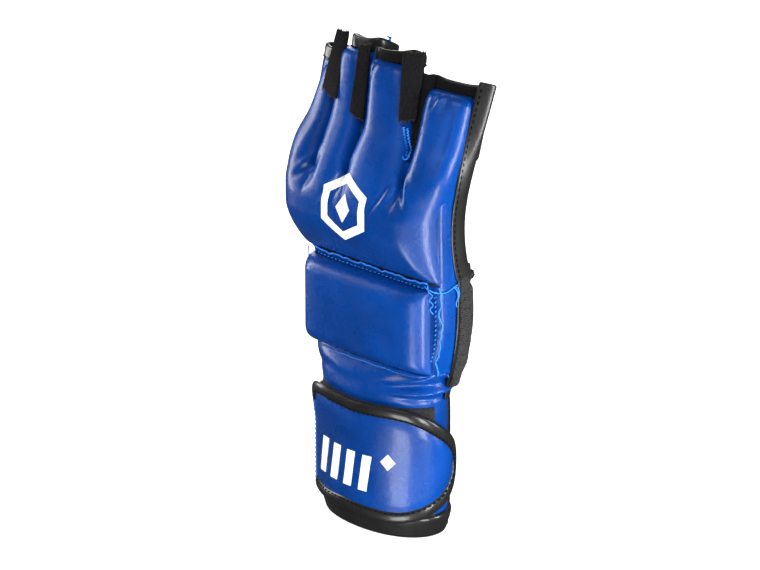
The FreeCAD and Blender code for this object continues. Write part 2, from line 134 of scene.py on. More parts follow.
def wrap_faces(rows, columns):
    """Quads that join the last row of a closed grid to its first."""
    last = (rows - 1) * columns
    return [(last + c, last + (c + 1) % columns, (c + 1) % columns, c) for c in range(columns)]


def end_caps(rows, columns, offset=0):
    """The two polygons that close a tube's ends."""
    last = offset + (rows - 1) * columns
    return [tuple(range(offset, offset + columns))[::-1], tuple(range(last, last + columns))]


def bake(obj):
    """Applies an object's modifiers."""
    graph = bpy.context.evaluated_depsgraph_get()
    mesh = bpy.data.meshes.new_from_object(obj.evaluated_get(graph))
    obj.modifiers.clear()
    old = obj.data
    obj.data = mesh
    bpy.data.meshes.remove(old)
    mesh.shade_smooth()
    return obj


def soften(obj, levels=1):
    """Subdivides an object the given number of times."""
    if levels:
        obj.modifiers.new("smooth", "SUBSURF").levels = levels
    return bake(obj)


def fix_normals(obj):
    bm = bmesh.new()
    bm.from_mesh(obj.data)
    bmesh.ops.remove_doubles(bm, verts=bm.verts, dist=1e-6)
    bmesh.ops.recalc_face_normals(bm, faces=bm.faces)
    bm.to_mesh(obj.data)
    bm.free()
    return obj


def thicken(obj, thickness, levels=1, offset=-1.0, even=True, quality=False):
    """Turns an open skin into a closed one: thickness in mm goes inwards when offset is -1."""
    solid = obj.modifiers.new("skin", "SOLIDIFY")
    solid.thickness = thickness * MM
    solid.offset = offset
    solid.use_even_offset = even
    solid.use_quality_normals = quality
    return soften(obj, levels)


def sheet_skin(name, grid, material, thickness, levels=1, flip=False):
    """A skin from a grid of points on its outer surface, thickened inwards."""
    faces = grid_faces(*np.shape(grid)[:2])
    if flip:
        faces = [f[::-1] for f in faces]
    return thicken(new_object(name, np.reshape(grid, (-1, 3)), faces, material), thickness, levels)


def patchwork(name, grids, material, flips=(False,)):
    """Several grids as one mesh, welded where they touch; flips says which of them face the other way."""
    points, faces, at = [], [], 0
    for i, grid in enumerate(grids):
        new = grid_faces(*grid.shape[:2], False, at)
        faces += [f[::-1] for f in new] if flips[i % len(flips)] else new
        points.append(grid.reshape(-1, 3))
        at += grid.shape[0] * grid.shape[1]
    return fix_normals(new_object(name, np.vstack(points), faces, material))


def sides_along(path, facing, closed=False):
    """Sideways and outward directions along a path whose outward directions are roughly given."""
    if closed:
        tangent = unit(np.roll(path, -1, axis=0) - np.roll(path, 1, axis=0))
    else:
        tangent = unit(np.gradient(path, axis=0))
    side = unit(np.cross(tangent, facing))
    return side, np.cross(side, tangent)


def sweep(name, path, facing, section, material, closed=False, levels=1):
    """A closed section, given as (sideways, outward) pairs in mm, swept along a path."""
    side, out = sides_along(path, facing, closed)
    section = np.asarray(section, float)
    points = path[:, None] + section[None, :, :1] * side[:, None] + section[None, :, 1:] * out[:, None]
    n, m = len(path), len(section)
    faces = grid_faces(n, m, True) + (wrap_faces(n, m) if closed else end_caps(n, m))
    return soften(fix_normals(new_object(name, points.reshape(-1, 3), faces, material)), levels)


# along the stitch, girth and rise of each ring of a stitch
STITCH = [(-0.5, 0.25, -0.5), (-0.36, 0.9, 0.35), (0.0, 1.0, 1.0), (0.36, 0.9, 0.35), (0.5, 0.25, -0.5)]
STITCH_SIDES = 6


def stitch_row(name, path, facing, material, pitch, length, radius, lift, jitter=0.0, slant=0.0):
    """Thread stitches along a path, as short capsules that dip into the leather at both ends."""
    s = run_along(path)
    side, out = sides_along(path, facing)
    points, faces = [], []
    for k in range(int(s[-1] / pitch)):
        centre = (k + 0.5) * pitch + (rng.uniform(-jitter, jitter) if jitter else 0)
        turn = slant + (rng.uniform(-0.25, 0.25) if jitter else 0)
        faces += grid_faces(len(STITCH), STITCH_SIDES, True, len(points))
        faces += end_caps(len(STITCH), STITCH_SIDES, len(points))
        for along, girth, rise in STITCH:
            where = centre + along * length * math.cos(turn)
            p = np.array([np.interp(where, s, column) for column in path.T])
            i = min(int(np.searchsorted(s, where)), len(s) - 1)
            p = p + side[i] * along * length * math.sin(turn) + out[i] * (lift + radius * (rise * 0.7))
            for a in range(STITCH_SIDES):
                angle = 2 * math.pi * a / STITCH_SIDES
                points.append(p + radius * girth * (math.cos(angle) * side[i] + math.sin(angle) * out[i]))
    return fix_normals(new_object(name, points, faces, material))


def tube(name, path, radius, material, sides=7, taper=True):
    """A round thread along a path."""
    path = np.asarray(path, float)
    tangent = unit(np.gradient(path, axis=0))
    up = np.where(np.abs(tangent[:, 2:3]) > 0.9, [[1.0, 0, 0]], [[0, 0, 1.0]])
    side = unit(np.cross(tangent, up))
    out = np.cross(side, tangent)
    angle = np.linspace(0, 2 * math.pi, sides, endpoint=False)[None, :, None]
    size = np.full((len(path), 1, 1), radius)
    if taper:
        size[[0, -1]] *= 0.4
    points = path[:, None] + size * (np.cos(angle) * side[:, None] + np.sin(angle) * out[:, None])
    faces = grid_faces(len(path), sides, True) + end_caps(len(path), sides)
    return fix_normals(new_object(name, points.reshape(-1, 3), faces, material))


def join(name, objects):
    """Several objects as one mesh."""
    points, faces = [], []
    material = objects[0].data.materials[0]
    for obj in objects:
        faces += [tuple(len(points) + i for i in p.vertices) for p in obj.data.polygons]
        points += [tuple(v.co / MM) for v in obj.data.vertices]
        bpy.data.objects.remove(obj)
    return new_object(name, points, faces, material)


# ---- materials


class Surface:
    """A material whose textures follow the object's own coordinates."""

    def __init__(self, name):
        self.material = bpy.data.materials.new(name)
        self.material.use_nodes = True
        self.nodes = self.material.node_tree.nodes
        self.vector = self.nodes.new("ShaderNodeTexCoord").outputs["Object"]

    def feed(self, node, socket, source):
        """Links a socket to another node's output, or sets it to a value."""
        if isinstance(source, bpy.types.NodeSocket):
            self.material.node_tree.links.new(source, node.inputs[socket])
        else:
            node.inputs[socket].default_value = source

    def texture(self, kind, output, scale, **settings):
        node = self.nodes.new("ShaderNodeTex" + kind)
        self.feed(node, "Vector", self.vector)
        self.feed(node, "Scale", scale)
        for key, setting in settings.items():
            if key in node.inputs:
                self.feed(node, key, setting)
            else:
                setattr(node, key, setting)
        return node.outputs[output]

    def noise(self, scale, detail):
        return self.texture("Noise", "Fac", scale, Detail=detail)

    def ramp(self, source, *stops):
        node = self.nodes.new("ShaderNodeValToRGB")
        self.feed(node, "Fac", source)
        elements = node.color_ramp.elements
        while len(elements) < len(stops):
            elements.new(0.5)
        for element, (position, colour) in zip(elements, stops):
            element.position = position
            element.color = (*colour, 1)
        return node.outputs["Color"]

    def bump(self, height, strength, distance, normal=None):
        node = self.nodes.new("ShaderNodeBump")
        self.feed(node, "Strength", strength)
        self.feed(node, "Distance", distance)
        self.feed(node, "Height", height)
        if normal:
            self.feed(node, "Normal", normal)
        return node.outputs["Normal"]

    def maths(self, operation, a, b):
        node = self.nodes.new("ShaderNodeMath")
        node.operation = operation
        self.feed(node, 0, a)
        self.feed(node, 1, b)
        return node.outputs[0]

    def finish(self, **sockets):
        """Feeds the shader's sockets, named with underscores for their spaces."""
        for name, source in sockets.items():
            self.feed(self.nodes["Principled BSDF"], name.replace("_", " "), source)
        return self.material


def leather(name, dark, base, light, roughness, grain, coat):
    """Coated leather: pebbled grain, faint creases, and colour that shifts a little over the surface."""
    look = Surface(name)
    cells = look.texture("Voronoi", "Distance", 1150, feature="DISTANCE_TO_EDGE", Randomness=1.0)
    pebble = look.maths("MINIMUM", look.maths("MULTIPLY", cells, 3.2), 0.55)
    height = look.maths("ADD", pebble, look.maths("MULTIPLY", look.noise(2600, 3.0), 0.55))
    return look.finish(
        Base_Color=look.ramp(look.noise(26, 3.0), (0.3, dark), (0.52, base), (0.75, light)),
        Roughness=look.ramp(look.noise(140, 4.0), (0.3, (roughness - 0.06,) * 3), (0.7, (roughness + 0.08,) * 3)),
        Normal=look.bump(look.noise(320, 4.0), 0.2, 0.0004, look.bump(height, grain, 0.00011)),
        Coat_Weight=coat, Coat_Roughness=0.17, Specular_IOR_Level=0.17)


def woven(name, dark, light, rib_scale, strength, direction="Z", roughness=0.88, pile=0.0):
    """Knitted elastic: fine ribs crossed by a finer weave, with fuzz."""
    look = Surface(name)
    ribs = look.texture("Wave", "Fac", rib_scale, bands_direction=direction, wave_profile="SIN", Distortion=1.4,
                        **{"Detail Scale": 2.0})
    cross = look.texture("Voronoi", "Distance", rib_scale * 2.4, Randomness=0.75)
    height = look.maths("ADD", look.maths("MULTIPLY", ribs, 0.6), look.maths("MULTIPLY", cross, 0.9))
    height = look.maths("ADD", height, look.maths("MULTIPLY", look.noise(1900, 5.0), 0.5))
    return look.finish(Base_Color=look.ramp(height, (0.45, dark), (1.0, light)),
                       Normal=look.bump(height, strength, 0.0004), Roughness=roughness,
                       Sheen_Weight=0.02 + pile * 0.3, Sheen_Roughness=0.5, Specular_IOR_Level=0.08)


def plain(name, colour, roughness, noise_scale, amount, strength, specular=0.5):
    """A simple surface with a little variation in colour and relief."""
    look = Surface(name)
    noise = look.noise(noise_scale, 4.0)
    low, high = [[min(1.0, c * (1 + change)) for c in colour] for change in (-amount, amount)]
    return look.finish(Base_Color=look.ramp(noise, (0.3, low), (0.7, high)), Roughness=roughness,
                       Normal=look.bump(noise, strength, 0.0003), Specular_IOR_Level=specular)


BLUE = leather("blue_leather", (0.0003, 0.027, 0.155), (0.0004, 0.038, 0.220), (0.0006, 0.052, 0.290),
               0.28, 0.5, 0.15)
BLACK = leather("black_leather", (0.007, 0.007, 0.008), (0.010, 0.010, 0.011), (0.014, 0.014, 0.015),
                0.5, 0.5, 0.1)
BINDING = leather("black_binding", (0.006, 0.006, 0.006), (0.009, 0.009, 0.009), (0.013, 0.013, 0.013),
                  0.36, 0.2, 0.3)
ELASTIC = woven("black_elastic", (0.002, 0.002, 0.0025), (0.009, 0.009, 0.010), 400, 0.5, "X")
KNIT = woven("black_knit", (0.003, 0.003, 0.003), (0.030, 0.030, 0.031), 260, 1.0)
PILE = woven("loop_pile", (0.003, 0.003, 0.003), (0.018, 0.018, 0.020), 420, 1.0, "Z", 0.95, 0.3)
LINING = woven("black_lining", (0.006, 0.006, 0.007), (0.018, 0.018, 0.02), 300, 0.5, "Z", 0.92)
HOOK = plain("hook_tape", (0.012, 0.012, 0.012), 0.6, 1600, 0.5, 0.9)
FRAY = plain("frayed_edge", (0.030, 0.020, 0.014), 0.95, 1500, 0.6, 0.9)
CYAN = plain("blue_thread", (0.004, 0.20, 0.80), 0.55, 900, 0.35, 0.5)
CUT = plain("cut_edge", (0.004, 0.17, 0.68), 0.7, 700, 0.4, 0.6)
THREAD = plain("black_thread", (0.003, 0.003, 0.003), 0.9, 900, 0.4, 0.4, 0.08)
WHITE = plain("white_print", (0.93, 0.93, 0.94), 0.6, 900, 0.03, 0.05, 0.25)


# ---- the hand's cross-section, and the curl of the fingers


def curl(points):
    """Bends points of the straight hand about the knuckles: none below them, and all of the rest curl above."""
    p = np.array(points, float)
    angle = CURL * smooth((p[..., 2] - (KNUCKLE_AXIS[2] - 20)) / 25)
    dy, dz = p[..., 1] - KNUCKLE_AXIS[1], p[..., 2] - KNUCKLE_AXIS[2]
    q = p.copy()
    q[..., 1] = KNUCKLE_AXIS[1] + dy * np.cos(angle) + dz * np.sin(angle)
    q[..., 2] = KNUCKLE_AXIS[2] + dz * np.cos(angle) - dy * np.sin(angle)
    return q


# height, left, right, back of the hand, palm, squareness on the left and on the right
SECTIONS = [
    (1, -36.7, 36.7, -21.7, 21.7, 2.0, 2.0),
    (60, -36.7, 36.7, -21.7, 21.7, 2.0, 2.0),
    (74, -37.6, 37.4, -21.8, 21.2, 2.1, 2.05),
    (84, -39.0, 40.5, -20.2, 19.0, 2.5, 2.5),
    (93, -39.2, 45.2, -17.2, 17.9, 3.4, 4.5),
    (104, -38.6, 48.6, -16.4, 17.8, 4.2, 7.0),
    (142, -39.9, 49.6, -16.2, 17.8, 4.6, 8.0),
    (188, -42.0, 49.9, -16.2, 17.8, 4.6, 8.0),
    (200, -42.5, 50.0, -14.5, 17.0, 4.6, 6.0),
]


def palm_pull(x, y, z):
    """How far the palm's corner on the thumb's side is rounded inwards."""
    return 6.0 * smooth((y - 5) / 13) * smooth((x - 22) / 22) * smooth((z - 84) / 10)


def section(z, angle, grow=0.0):
    """A point on the hand's outline: angle 0 is the thumb's side, 90 degrees the palm, -90 the back."""
    left, right, back, palm, n_left, n_right = np.moveaxis(table(SECTIONS, z), -1, 0)
    c, s = np.cos(angle), np.sin(angle)
    n = mix(n_left, n_right, smooth(0.5 + 0.5 * c))
    x = (left + right) / 2 + ((right - left) / 2 + grow) * np.sign(c) * np.abs(c) ** (2 / n)
    y = (back + palm) / 2 + ((palm - back) / 2 + grow) * np.sign(s) * np.abs(s) ** (2 / n)
    return np.stack([x - palm_pull(x, y, z), y, np.broadcast_to(z, x.shape)], axis=-1)


def angle_at(z, y, right):
    """The angle at which the outline crosses y, on the thumb's side or the little finger's side."""
    _, _, back, palm, n_left, n_right = np.moveaxis(table(SECTIONS, z), -1, 0)
    rise = np.clip((y - (back + palm) / 2) / ((palm - back) / 2), -0.999, 0.999)
    n = n_right if right else n_left
    part = np.arcsin(np.abs(rise) ** (n / 2)) * np.sign(rise)
    return part if right else np.where(rise >= 0, math.pi - part, -math.pi - part)


def humps(x, z, marks):
    """Sum of soft ridges and creases, each (x, z, slope in degrees, length, width, height)."""
    total = np.zeros_like(x)
    for cx, cz, slope, length, width, height in marks:
        a = math.radians(slope)
        along = (x - cx) * math.cos(a) + (z - cz) * math.sin(a)
        across = (z - cz) * math.cos(a) - (x - cx) * math.sin(a)
        total += height * np.exp(-(along / length) ** 2 - (across / width) ** 2)
    return total


def face_depth(x, z, side, grow, limit):
    """The outline's depth at x and z: side is -1 on the back of the hand and 1 on the palm."""
    left, right, back, palm, n_left, n_right = np.moveaxis(table(SECTIONS, z), -1, 0)
    c = np.clip((x - (left + right) / 2) / ((right - left) / 2 + grow), -limit, limit)
    n = mix(n_left, n_right, smooth(0.5 + 0.5 * c))
    return (back + palm) / 2 + side * ((palm - back) / 2 + grow) * (1 - np.abs(c) ** n) ** (1 / n)


def palm_point(x, z, grow=0.5):
    """The point of the palm's surface behind x and z."""
    y = face_depth(x, z, 1, grow, 0.995)
    return np.stack([x - palm_pull(x, y, z), y, z], axis=-1)


def back_face(x, z):
    """The point of the leather on the back of the hand in front of x and z."""
    return np.stack([x, face_depth(x, z, -1, 0, 0.999), z], axis=-1)


def side_face(z, y, proud):
    """The point of the leather on the thumb's side at depth y."""
    return section(z, angle_at(z, y, True), proud)


# ---- back of the hand and wrist: one blue leather that crosses the wrist crease

WRIST_FOLDS = [(33, 87.5, 16, 17, 2.0, 3.4), (34, 83.2, 10, 14, 1.8, -2.6), (35, 78.8, 3, 14, 1.7, 2.8),
               (36, 75.2, -4, 12, 1.5, -1.6), (10, 81, 6, 18, 3.0, -1.0), (-12, 84, -6, 18, 3.0, 0.9),
               (45, 91, 40, 9, 2.0, -1.4),
               (-28, 80, 14, 9, 2.2, -1.0), (40, 70, 60, 7, 1.6, 1.0), (20, 87, 20, 9, 1.5, -0.9)]


def round_back(z, first, last):
    """The angles of two side lines, tables of (height, y), from the little finger's side round the back."""
    start, end = angle_at(z, table(first, z), False), angle_at(z, table(last, z), True)
    return np.where(start > end + 1e-6, start - 2 * math.pi, start), end


def leather_shell(name, z, angles, columns, material, thickness, grow=0.0, folds=(), bent=True):
    """A skin on the hand's outline between two angles at each height."""
    start, end = angles
    angle = start[:, None] + (end - start)[:, None] * np.linspace(0, 1, columns)
    zz = np.repeat(z[:, None], columns, 1)
    p = section(zz, angle, grow)
    if folds:
        p += unit(section(zz, angle, grow + 1) - p) * humps(p[..., 0], zz, folds)[..., None]
    return sheet_skin(name, curl(p) if bent else p, material, thickness)


LITTLE_SEAM = [(0, 8.0), (80, 9.0), (95, 12.0), (200, 12.5)]
THUMB_SEAM = [(0, 8.5), (72, 8.0), (86, 4.0), (98, 3.0), (140, 3.0), (150, 1.0), (200, 0.5)]
PALM_EDGE = [(0, 8.0), (72, 7.5), (86, 6.0), (98, 8.0), (200, 9.0)]

z = np.r_[np.linspace(1.2, 66, 14), np.linspace(69, 100, 26), np.linspace(104, 197, 26)]
back_leather = leather_shell("back_leather", z, round_back(z, LITTLE_SEAM, THUMB_SEAM), 72, BLUE, 1.7,
                             folds=WRIST_FOLDS)
z = np.linspace(93, 195, 36)
lining_sides = round_back(z, [(0, 10.5), (95, 13.5), (200, 14.0)],
                          [(0, 6.5), (98, 3.5), (140, 3.5), (150, 0.5), (200, 0.0)])
hand_lining = leather_shell("hand_lining", z, lining_sides, 60, LINING, 0.7, -1.9)


# ---- palm: black leather with a round window and the thumb's opening

z = np.r_[np.linspace(1.2, 66, 12), np.linspace(69, 100, 20), np.linspace(103, 187, 34)]
palm_sides = (angle_at(z, table(PALM_EDGE, z), True),
              angle_at(z, table(LITTLE_SEAM, z) - 1.0, False) % (2 * math.pi))
PALM_FOLDS = [(0, 82, 0, 40, 3.0, -1.2), (-5, 92, 8, 26, 3.0, 0.8), (10, 172, -8, 34, 5.0, -1.0),
              (-24, 120, 80, 30, 6, 0.6)]
palm_leather = leather_shell("palm_leather", z, palm_sides, 64, BLACK, 1.5, 0.5, PALM_FOLDS, bent=False)

# x, z and radius of the two holes in the palm
WINDOW = (-11.0, 136.0, 19.0)
THUMB_HOLE = (51.0, 160.0, 30.0)


def cut_round(obj, hole, y_from, y_to):
    """Cuts a round hole through a skin along the y axis."""
    x, z, radius = hole
    bm = bmesh.new()
    bmesh.ops.create_cone(bm, cap_ends=True, segments=96, radius1=radius * MM, radius2=radius * MM,
                          depth=(y_to - y_from) * MM)
    mesh = bpy.data.meshes.new("cutter")
    bm.to_mesh(mesh)
    bm.free()
    cutter = linked("cutter", mesh)
    cutter.matrix_world = (Matrix.Translation(Vector((x, (y_from + y_to) / 2, z)) * MM)
                           @ Matrix.Rotation(math.pi / 2, 4, "X"))
    cut = obj.modifiers.new("cut", "BOOLEAN")
    cut.operation = "DIFFERENCE"
    cut.solver = "EXACT"
    cut.object = cutter
    bake(obj)
    bpy.data.objects.remove(cutter)


cut_round(palm_leather, WINDOW, 5, 30)
cut_round(palm_leather, THUMB_HOLE, 2, 30)


def round_hole(hole, beyond, start, end, count, endpoint=True):
    """A line on the palm round a hole, between two angles in degrees."""
    x, z, radius = hole
    a = np.linspace(math.radians(start), math.radians(end), count, endpoint=endpoint)
    return palm_point(x + (radius + beyond) * np.cos(a), z + (radius + beyond) * np.sin(a))


HOLE_TAPE = [(-2.5, 0), (-2.425, 0.715), (-2, 1.196), (-1, 1.3), (0, 1.261), (1, 1.3), (2, 1.235), (2.425, 0.78),
             (2.5, 0), (1.5, -0.4), (0, -0.5), (-1.5, -0.4)]
window_edging = sweep("window_edging", round_hole(WINDOW, 0.6, 0, 360, 120, False) + [0, -0.6, 0], [0, 1, 0],
                      HOLE_TAPE, BINDING, True)
thumb_edging = sweep("thumb_edging", round_hole(THUMB_HOLE, 0.6, 99, 254, 90) + [0, -0.6, 0], [0, 1, 0],
                     HOLE_TAPE, BINDING)
window_stitches = stitch_row("window_stitches", round_hole(WINDOW, 2.6, 0, 360, 160), [0, 1, 0], THREAD,
                             3.2, 2.2, 0.32, 0.45)

# ---- cuff


HALF_WIDTH, HALF_DEPTH = 36.7, 21.7


def oval(angle, z, grow=0.0):
    """A point on the wrist's oval: grow is how far outside the leather it lies."""
    return np.stack([(HALF_WIDTH + grow) * np.cos(angle), (HALF_DEPTH + grow) * np.sin(angle),
                     np.broadcast_to(z, np.shape(angle))], axis=-1)


def oval_out(angle):
    return unit(np.stack([np.cos(angle) / HALF_WIDTH, np.sin(angle) / HALF_DEPTH, 0 * angle], axis=-1))


def arc(start, end, count):
    return np.linspace(math.radians(start), math.radians(end), count)


turn = np.linspace(0, 2 * math.pi, 150, endpoint=False)
hem_section = [(-5.4, 0.0), (-5.9, -1.0), (-5.4, -2.9), (0, -3.1), (5.0, -2.9), (5.2, -2.4), (4.4, -2.0), (0, -1.2),
               (6.0, -0.3), (6.4, 0.5), (5.6, 0.95), (2.5, 0.85), (-1.5, 0.95), (-4.4, 0.8)]
cuff_hem = sweep("cuff_hem_tape", oval(turn, 6.0 + 0.25 * np.sin(3 * turn + 1), 0.1),
                 oval_out(turn) + [0, 0, -0.28], hem_section, BINDING, True)
turn = arc(0, 360, 260)
hem_stitches = stitch_row("cuff_hem_stitches", oval(turn, 7.2, 0.8), oval_out(turn), THREAD, 3.1, 2.1, 0.33, 0.1)

turn = arc(0, 360, 97)[:-1]
rows = [(1.5, -2.3), (20, -2.4), (40, -2.4), (60, -2.5), (70, -3.2), (72, -3.4), (72, -4.0), (60, -3.6), (40, -3.4),
        (20, -3.4), (1.5, -3.3)]
points = [p for z, grow in rows for p in oval(turn, z, grow)]
wrist_lining = fix_normals(new_object("wrist_lining", points,
                                      grid_faces(len(rows), 96, True) + wrap_faces(len(rows), 96), LINING))

heights = np.linspace(10, 70.6, 26)
turn = arc(-146, -11.5, 60)
pile = np.array([oval(turn, z, 1.0) for z in heights])
pile += oval_out(turn)[None] * rng.normal(0, 0.05, pile.shape[:2])[..., None]
loop_patch = sheet_skin("loop_patch", pile, PILE, 0.9)
turn = arc(26, 153, 60)
palm_elastic = sheet_skin("wrist_elastic", [oval(turn, z, 1.3 - 0.25 * (abs(z - 40) / 31) ** 6) for z in heights],
                          ELASTIC, 1.0)


# ---- closure strap

TURN = np.linspace(-math.pi, math.radians(80), 4000)
LENGTHS = run_along(np.c_[41 * np.cos(TURN), 26 * np.sin(TURN)])
STRAP_PROUD = 4.3


def strap_point(s, z, grow=0.0):
    """A point on the strap's outer face: s runs round from the little finger's side, z up."""
    s, z = np.asarray(s, float), np.asarray(z, float)
    angle = np.interp(s, LENGTHS, TURN)
    lift = (2.6 * smooth((z - 44) / 28) * smooth((50 - s) / 24) * smooth((s - 10) / 8)
            - 0.35 * smooth((s - 96) / 20))
    return oval(angle, z, STRAP_PROUD + grow + lift)


def strap_out(s):
    return oval_out(np.interp(s, LENGTHS, TURN))


OUTLINE = [(16.8, 11.0), (31.9, 10.2), (47, 10.4), (62.8, 9.4), (75.6, 8.7), (85, 9.6), (94, 12.2), (102, 16.0),
           (108.5, 20.6), (114.5, 26.5), (118.6, 33), (119.6, 39.5), (117.2, 46), (111.8, 53), (104, 60.2),
           (96, 65.8), (88, 69.3), (78.7, 71), (67, 71.2), (55, 70.9), (42, 71.8), (31, 72.8), (25.5, 72.0),
           (20.5, 68.6), (17.6, 62.0)]
EDGE = spline(OUTLINE, 260)
INWARDS = unit(np.stack([-np.gradient(EDGE[:, 1]), np.gradient(EDGE[:, 0])], axis=-1))


def strap_sheet(name, distance, grow, rows, columns, material, thickness, crown=0.0, levels=1, first=0.0):
    """A sheet that fills the strap's outline moved inwards by a distance."""
    line = EDGE + INWARDS * distance
    tip = int(np.argmax(line[:, 0]))
    low, high = line[:tip + 1], line[tip:][::-1]
    begin = first or max(low[0, 0], high[0, 0])
    s = begin + (line[tip, 0] - 0.02 - begin) * np.sin(np.linspace(0, math.pi / 2, columns))
    zl = np.interp(s, np.maximum.accumulate(low[:, 0]), low[:, 1])
    zh = np.interp(s, np.maximum.accumulate(high[:, 0]), high[:, 1])
    t = np.linspace(0, 1, rows)
    zz = zl[None] + (zh - zl)[None] * t[:, None]
    ss = np.repeat(s[None], rows, 0)
    rim = np.minimum(np.minimum(zz - zl[None], zh[None] - zz), (line[tip, 0] - ss) * 0.9)
    puff = crown * smooth(rim / 7) + 0.12 * np.sin(ss / 6.5 + zz / 9) * smooth(rim / 8)
    face = strap_point(ss, zz, grow) + strap_out(ss) * puff[..., None]
    return sheet_skin(name, face, material, thickness, levels)


strap_face = strap_sheet("strap_face", 4.2, -0.5, 30, 110, BLUE, 1.1, 0.75, first=19.4)
strap_back = strap_sheet("strap_backing", 1.6, -2.1, 14, 70, LINING, 0.7, levels=0)
strap_hook = strap_sheet("strap_hook_tape", 9.0, -2.9, 12, 60, HOOK, 0.6, levels=0, first=48)
STRAP_TAPE = [(-3.3, -1.1), (-3.35, 0.6), (-2.9, 1.65), (-1.6, 2.1), (0, 2.2), (1.5, 2.1), (2.7, 1.7), (3.1, 1.0),
              (2.9, 0.2), (0.5, -0.4), (0.5, -1.3), (-1.6, -1.6)]
s, z = (EDGE + INWARDS * 3.1).T
strap_edging = sweep("strap_edging", strap_point(s, z, -1.5), strap_out(s), STRAP_TAPE, BINDING)
s, z = (EDGE + INWARDS * 5.35)[4:-4].T
strap_stitches = stitch_row("strap_stitches", strap_point(s, z, 0.35), strap_out(s), THREAD,
                            2.9, 2.15, 0.36, 0.0, 0.12)

# the fixed part of the strap, from its seam round the little finger's side to the palm
turn = arc(-155.5, -307, 70)


def band_point(z, grow):
    return oval(turn, z, STRAP_PROUD - 1.4 * smooth((math.radians(-280) - turn) / 0.4) + grow)


band = [band_point(z, -0.45 + 0.5 * (1 - (abs(z - 37) / 23) ** 4)) for z in np.linspace(14.5, 59.0, 20)]
anchor_face = sheet_skin("anchor_face", band, BLUE, 2.6, flip=True)
ANCHOR_TAPE = [(-3.3, -2.6), (-3.4, -0.4), (-2.9, 0.75), (-1.4, 1.05), (0.6, 1.1), (2.2, 0.9), (3.0, 0.2),
               (2.6, -1.2), (0, -2.9)]
anchor_edging = join("anchor_edging", [
    sweep("tape", band_point(z, -0.6), oval_out(turn), [(mirror * a, b) for a, b in ANCHOR_TAPE], BINDING)
    for z, mirror in ((13.4, -1), (60.4, 1))])
anchor_stitches = join("anchor_stitches", [
    stitch_row("row", band_point(z, 0.05), oval_out(turn), THREAD, 2.9, 2.1, 0.34, 0.1, 0.1)
    for z in (16.3, 57.5)])

# the seam between the two, in bright blue thread, with a raw edge standing beside it
z = np.linspace(13.5, 60.5, 60)
strap_seam_edge = sweep("strap_seam_edge", strap_point(18.4 + 0.25 * np.sin(z / 3.1), z, 0.15),
                        strap_out(18.4 + 0 * z), [(-0.45, -1.6), (-0.5, 0.35), (0.5, 0.35), (0.45, -1.6)], CUT,
                        levels=0)
z = np.linspace(14.5, 60.0, 60)
strap_seam = stitch_row("strap_seam", strap_point(16.6 + 0 * z, z, 0.2), strap_out(16.6 + 0 * z), CYAN,
                        2.6, 2.0, 0.34, 0.0, 0.15, 0.25)

# the flexible leather at the seam, on which the strap swings
turn = arc(-164, -143, 22)
strap_hinge = sheet_skin("strap_hinge", [oval(turn, z, 3.25) for z in np.linspace(14.8, 59.6, 20)], BLUE, 0.8)

PRINT_LIFT, PRINT_ROOT = 0.28, 0.35


def printed(name, outlines, place):
    """Flat print: each outline is a polygon in the surface's own two measures, filled, refined and laid on it."""
    meshes = []
    for outline in outlines:
        bm = bmesh.new()
        face = bm.faces.new([bm.verts.new((x, y, 0)) for x, y in outline])
        bmesh.ops.triangulate(bm, faces=[face])
        bmesh.ops.subdivide_edges(bm, edges=bm.edges, cuts=8, use_grid_fill=False)
        bmesh.ops.triangulate(bm, faces=bm.faces)
        bm.verts.index_update()
        flat = np.array([v.co[:2] for v in bm.verts])
        faces = [[v.index for v in f.verts] for f in bm.faces]
        bm.free()
        surface, out = place(flat[:, 0], flat[:, 1])
        top, under = surface + PRINT_LIFT * out, surface - PRINT_ROOT * out
        # the top is there twice, so that the print's sharp rim doesn't bend its shading
        n = len(flat)
        edges = {(a, b): 1 for f in faces for a, b in zip(f, f[1:] + f[:1])}
        rim = [(2 * n + a, 2 * n + b, n + b, n + a) for a, b in edges if (b, a) not in edges]
        bottom = [[2 * n + i for i in f][::-1] for f in faces]
        meshes.append(new_object("part", np.vstack([top, top, under]), faces + bottom + rim, WHITE))
    return join(name, meshes)


def bar(x, z, width, height, slant):
    return [(x + slant * (zz - z) / height + dx, zz) for dx, zz in
            ((-width / 2, z), (width / 2, z), (width / 2, z + height), (-width / 2, z + height))]


def strap_top(s, z):
    """Points of the strap's face as built, found by rays towards the wrist, and its outward directions."""
    out, hits = strap_out(s), []
    for a, d in zip(strap_point(s, z, 3.0), out):
        hit = strap_tree.ray_cast(Vector(a * MM), Vector(-d))
        hits.append(np.array(hit[0]) / MM if hit[0] else a - 3 * d)
    return np.array(hits), out


strap_tree = BVHTree.FromObject(strap_face, bpy.context.evaluated_depsgraph_get())
marks = [bar(31.5 + 9.6 * i, 25.0 - 0.4 * i, 5.0, 19.5, 3.0) for i in range(4)]
marks.append([(74.5, 37.5), (78.3, 41.8), (74.5, 46.1), (70.7, 41.8)])
strap_marks = printed("strap_marks", marks, strap_top)


# ---- knuckle cover: one padded leather that parts into four lobes

# the cover's outline across the hand where it leaves the seam, and where it is fullest: (x, y)
SEAM_LINE = [(-39.6, -6), (-39.4, -11), (-37.5, -14.6), (-33, -16.3), (-15, -16.8), (5, -16.9), (25, -16.8),
             (40, -16.6), (46.5, -15.6), (48.9, -12), (49.8, -5)]
FULL_LINE = [(-42.2, -5), (-47.0, -10), (-47.6, -18), (-44, -25.5), (-33, -30.6), (-8, -31.8), (16, -31.2),
             (32, -28.6), (42, -22), (47.2, -14), (50.0, -5.5)]
SLOT = 195.0
TOP = {"little": 231.0, "ring": 241.5, "middle": 240.3, "index": 232.8}
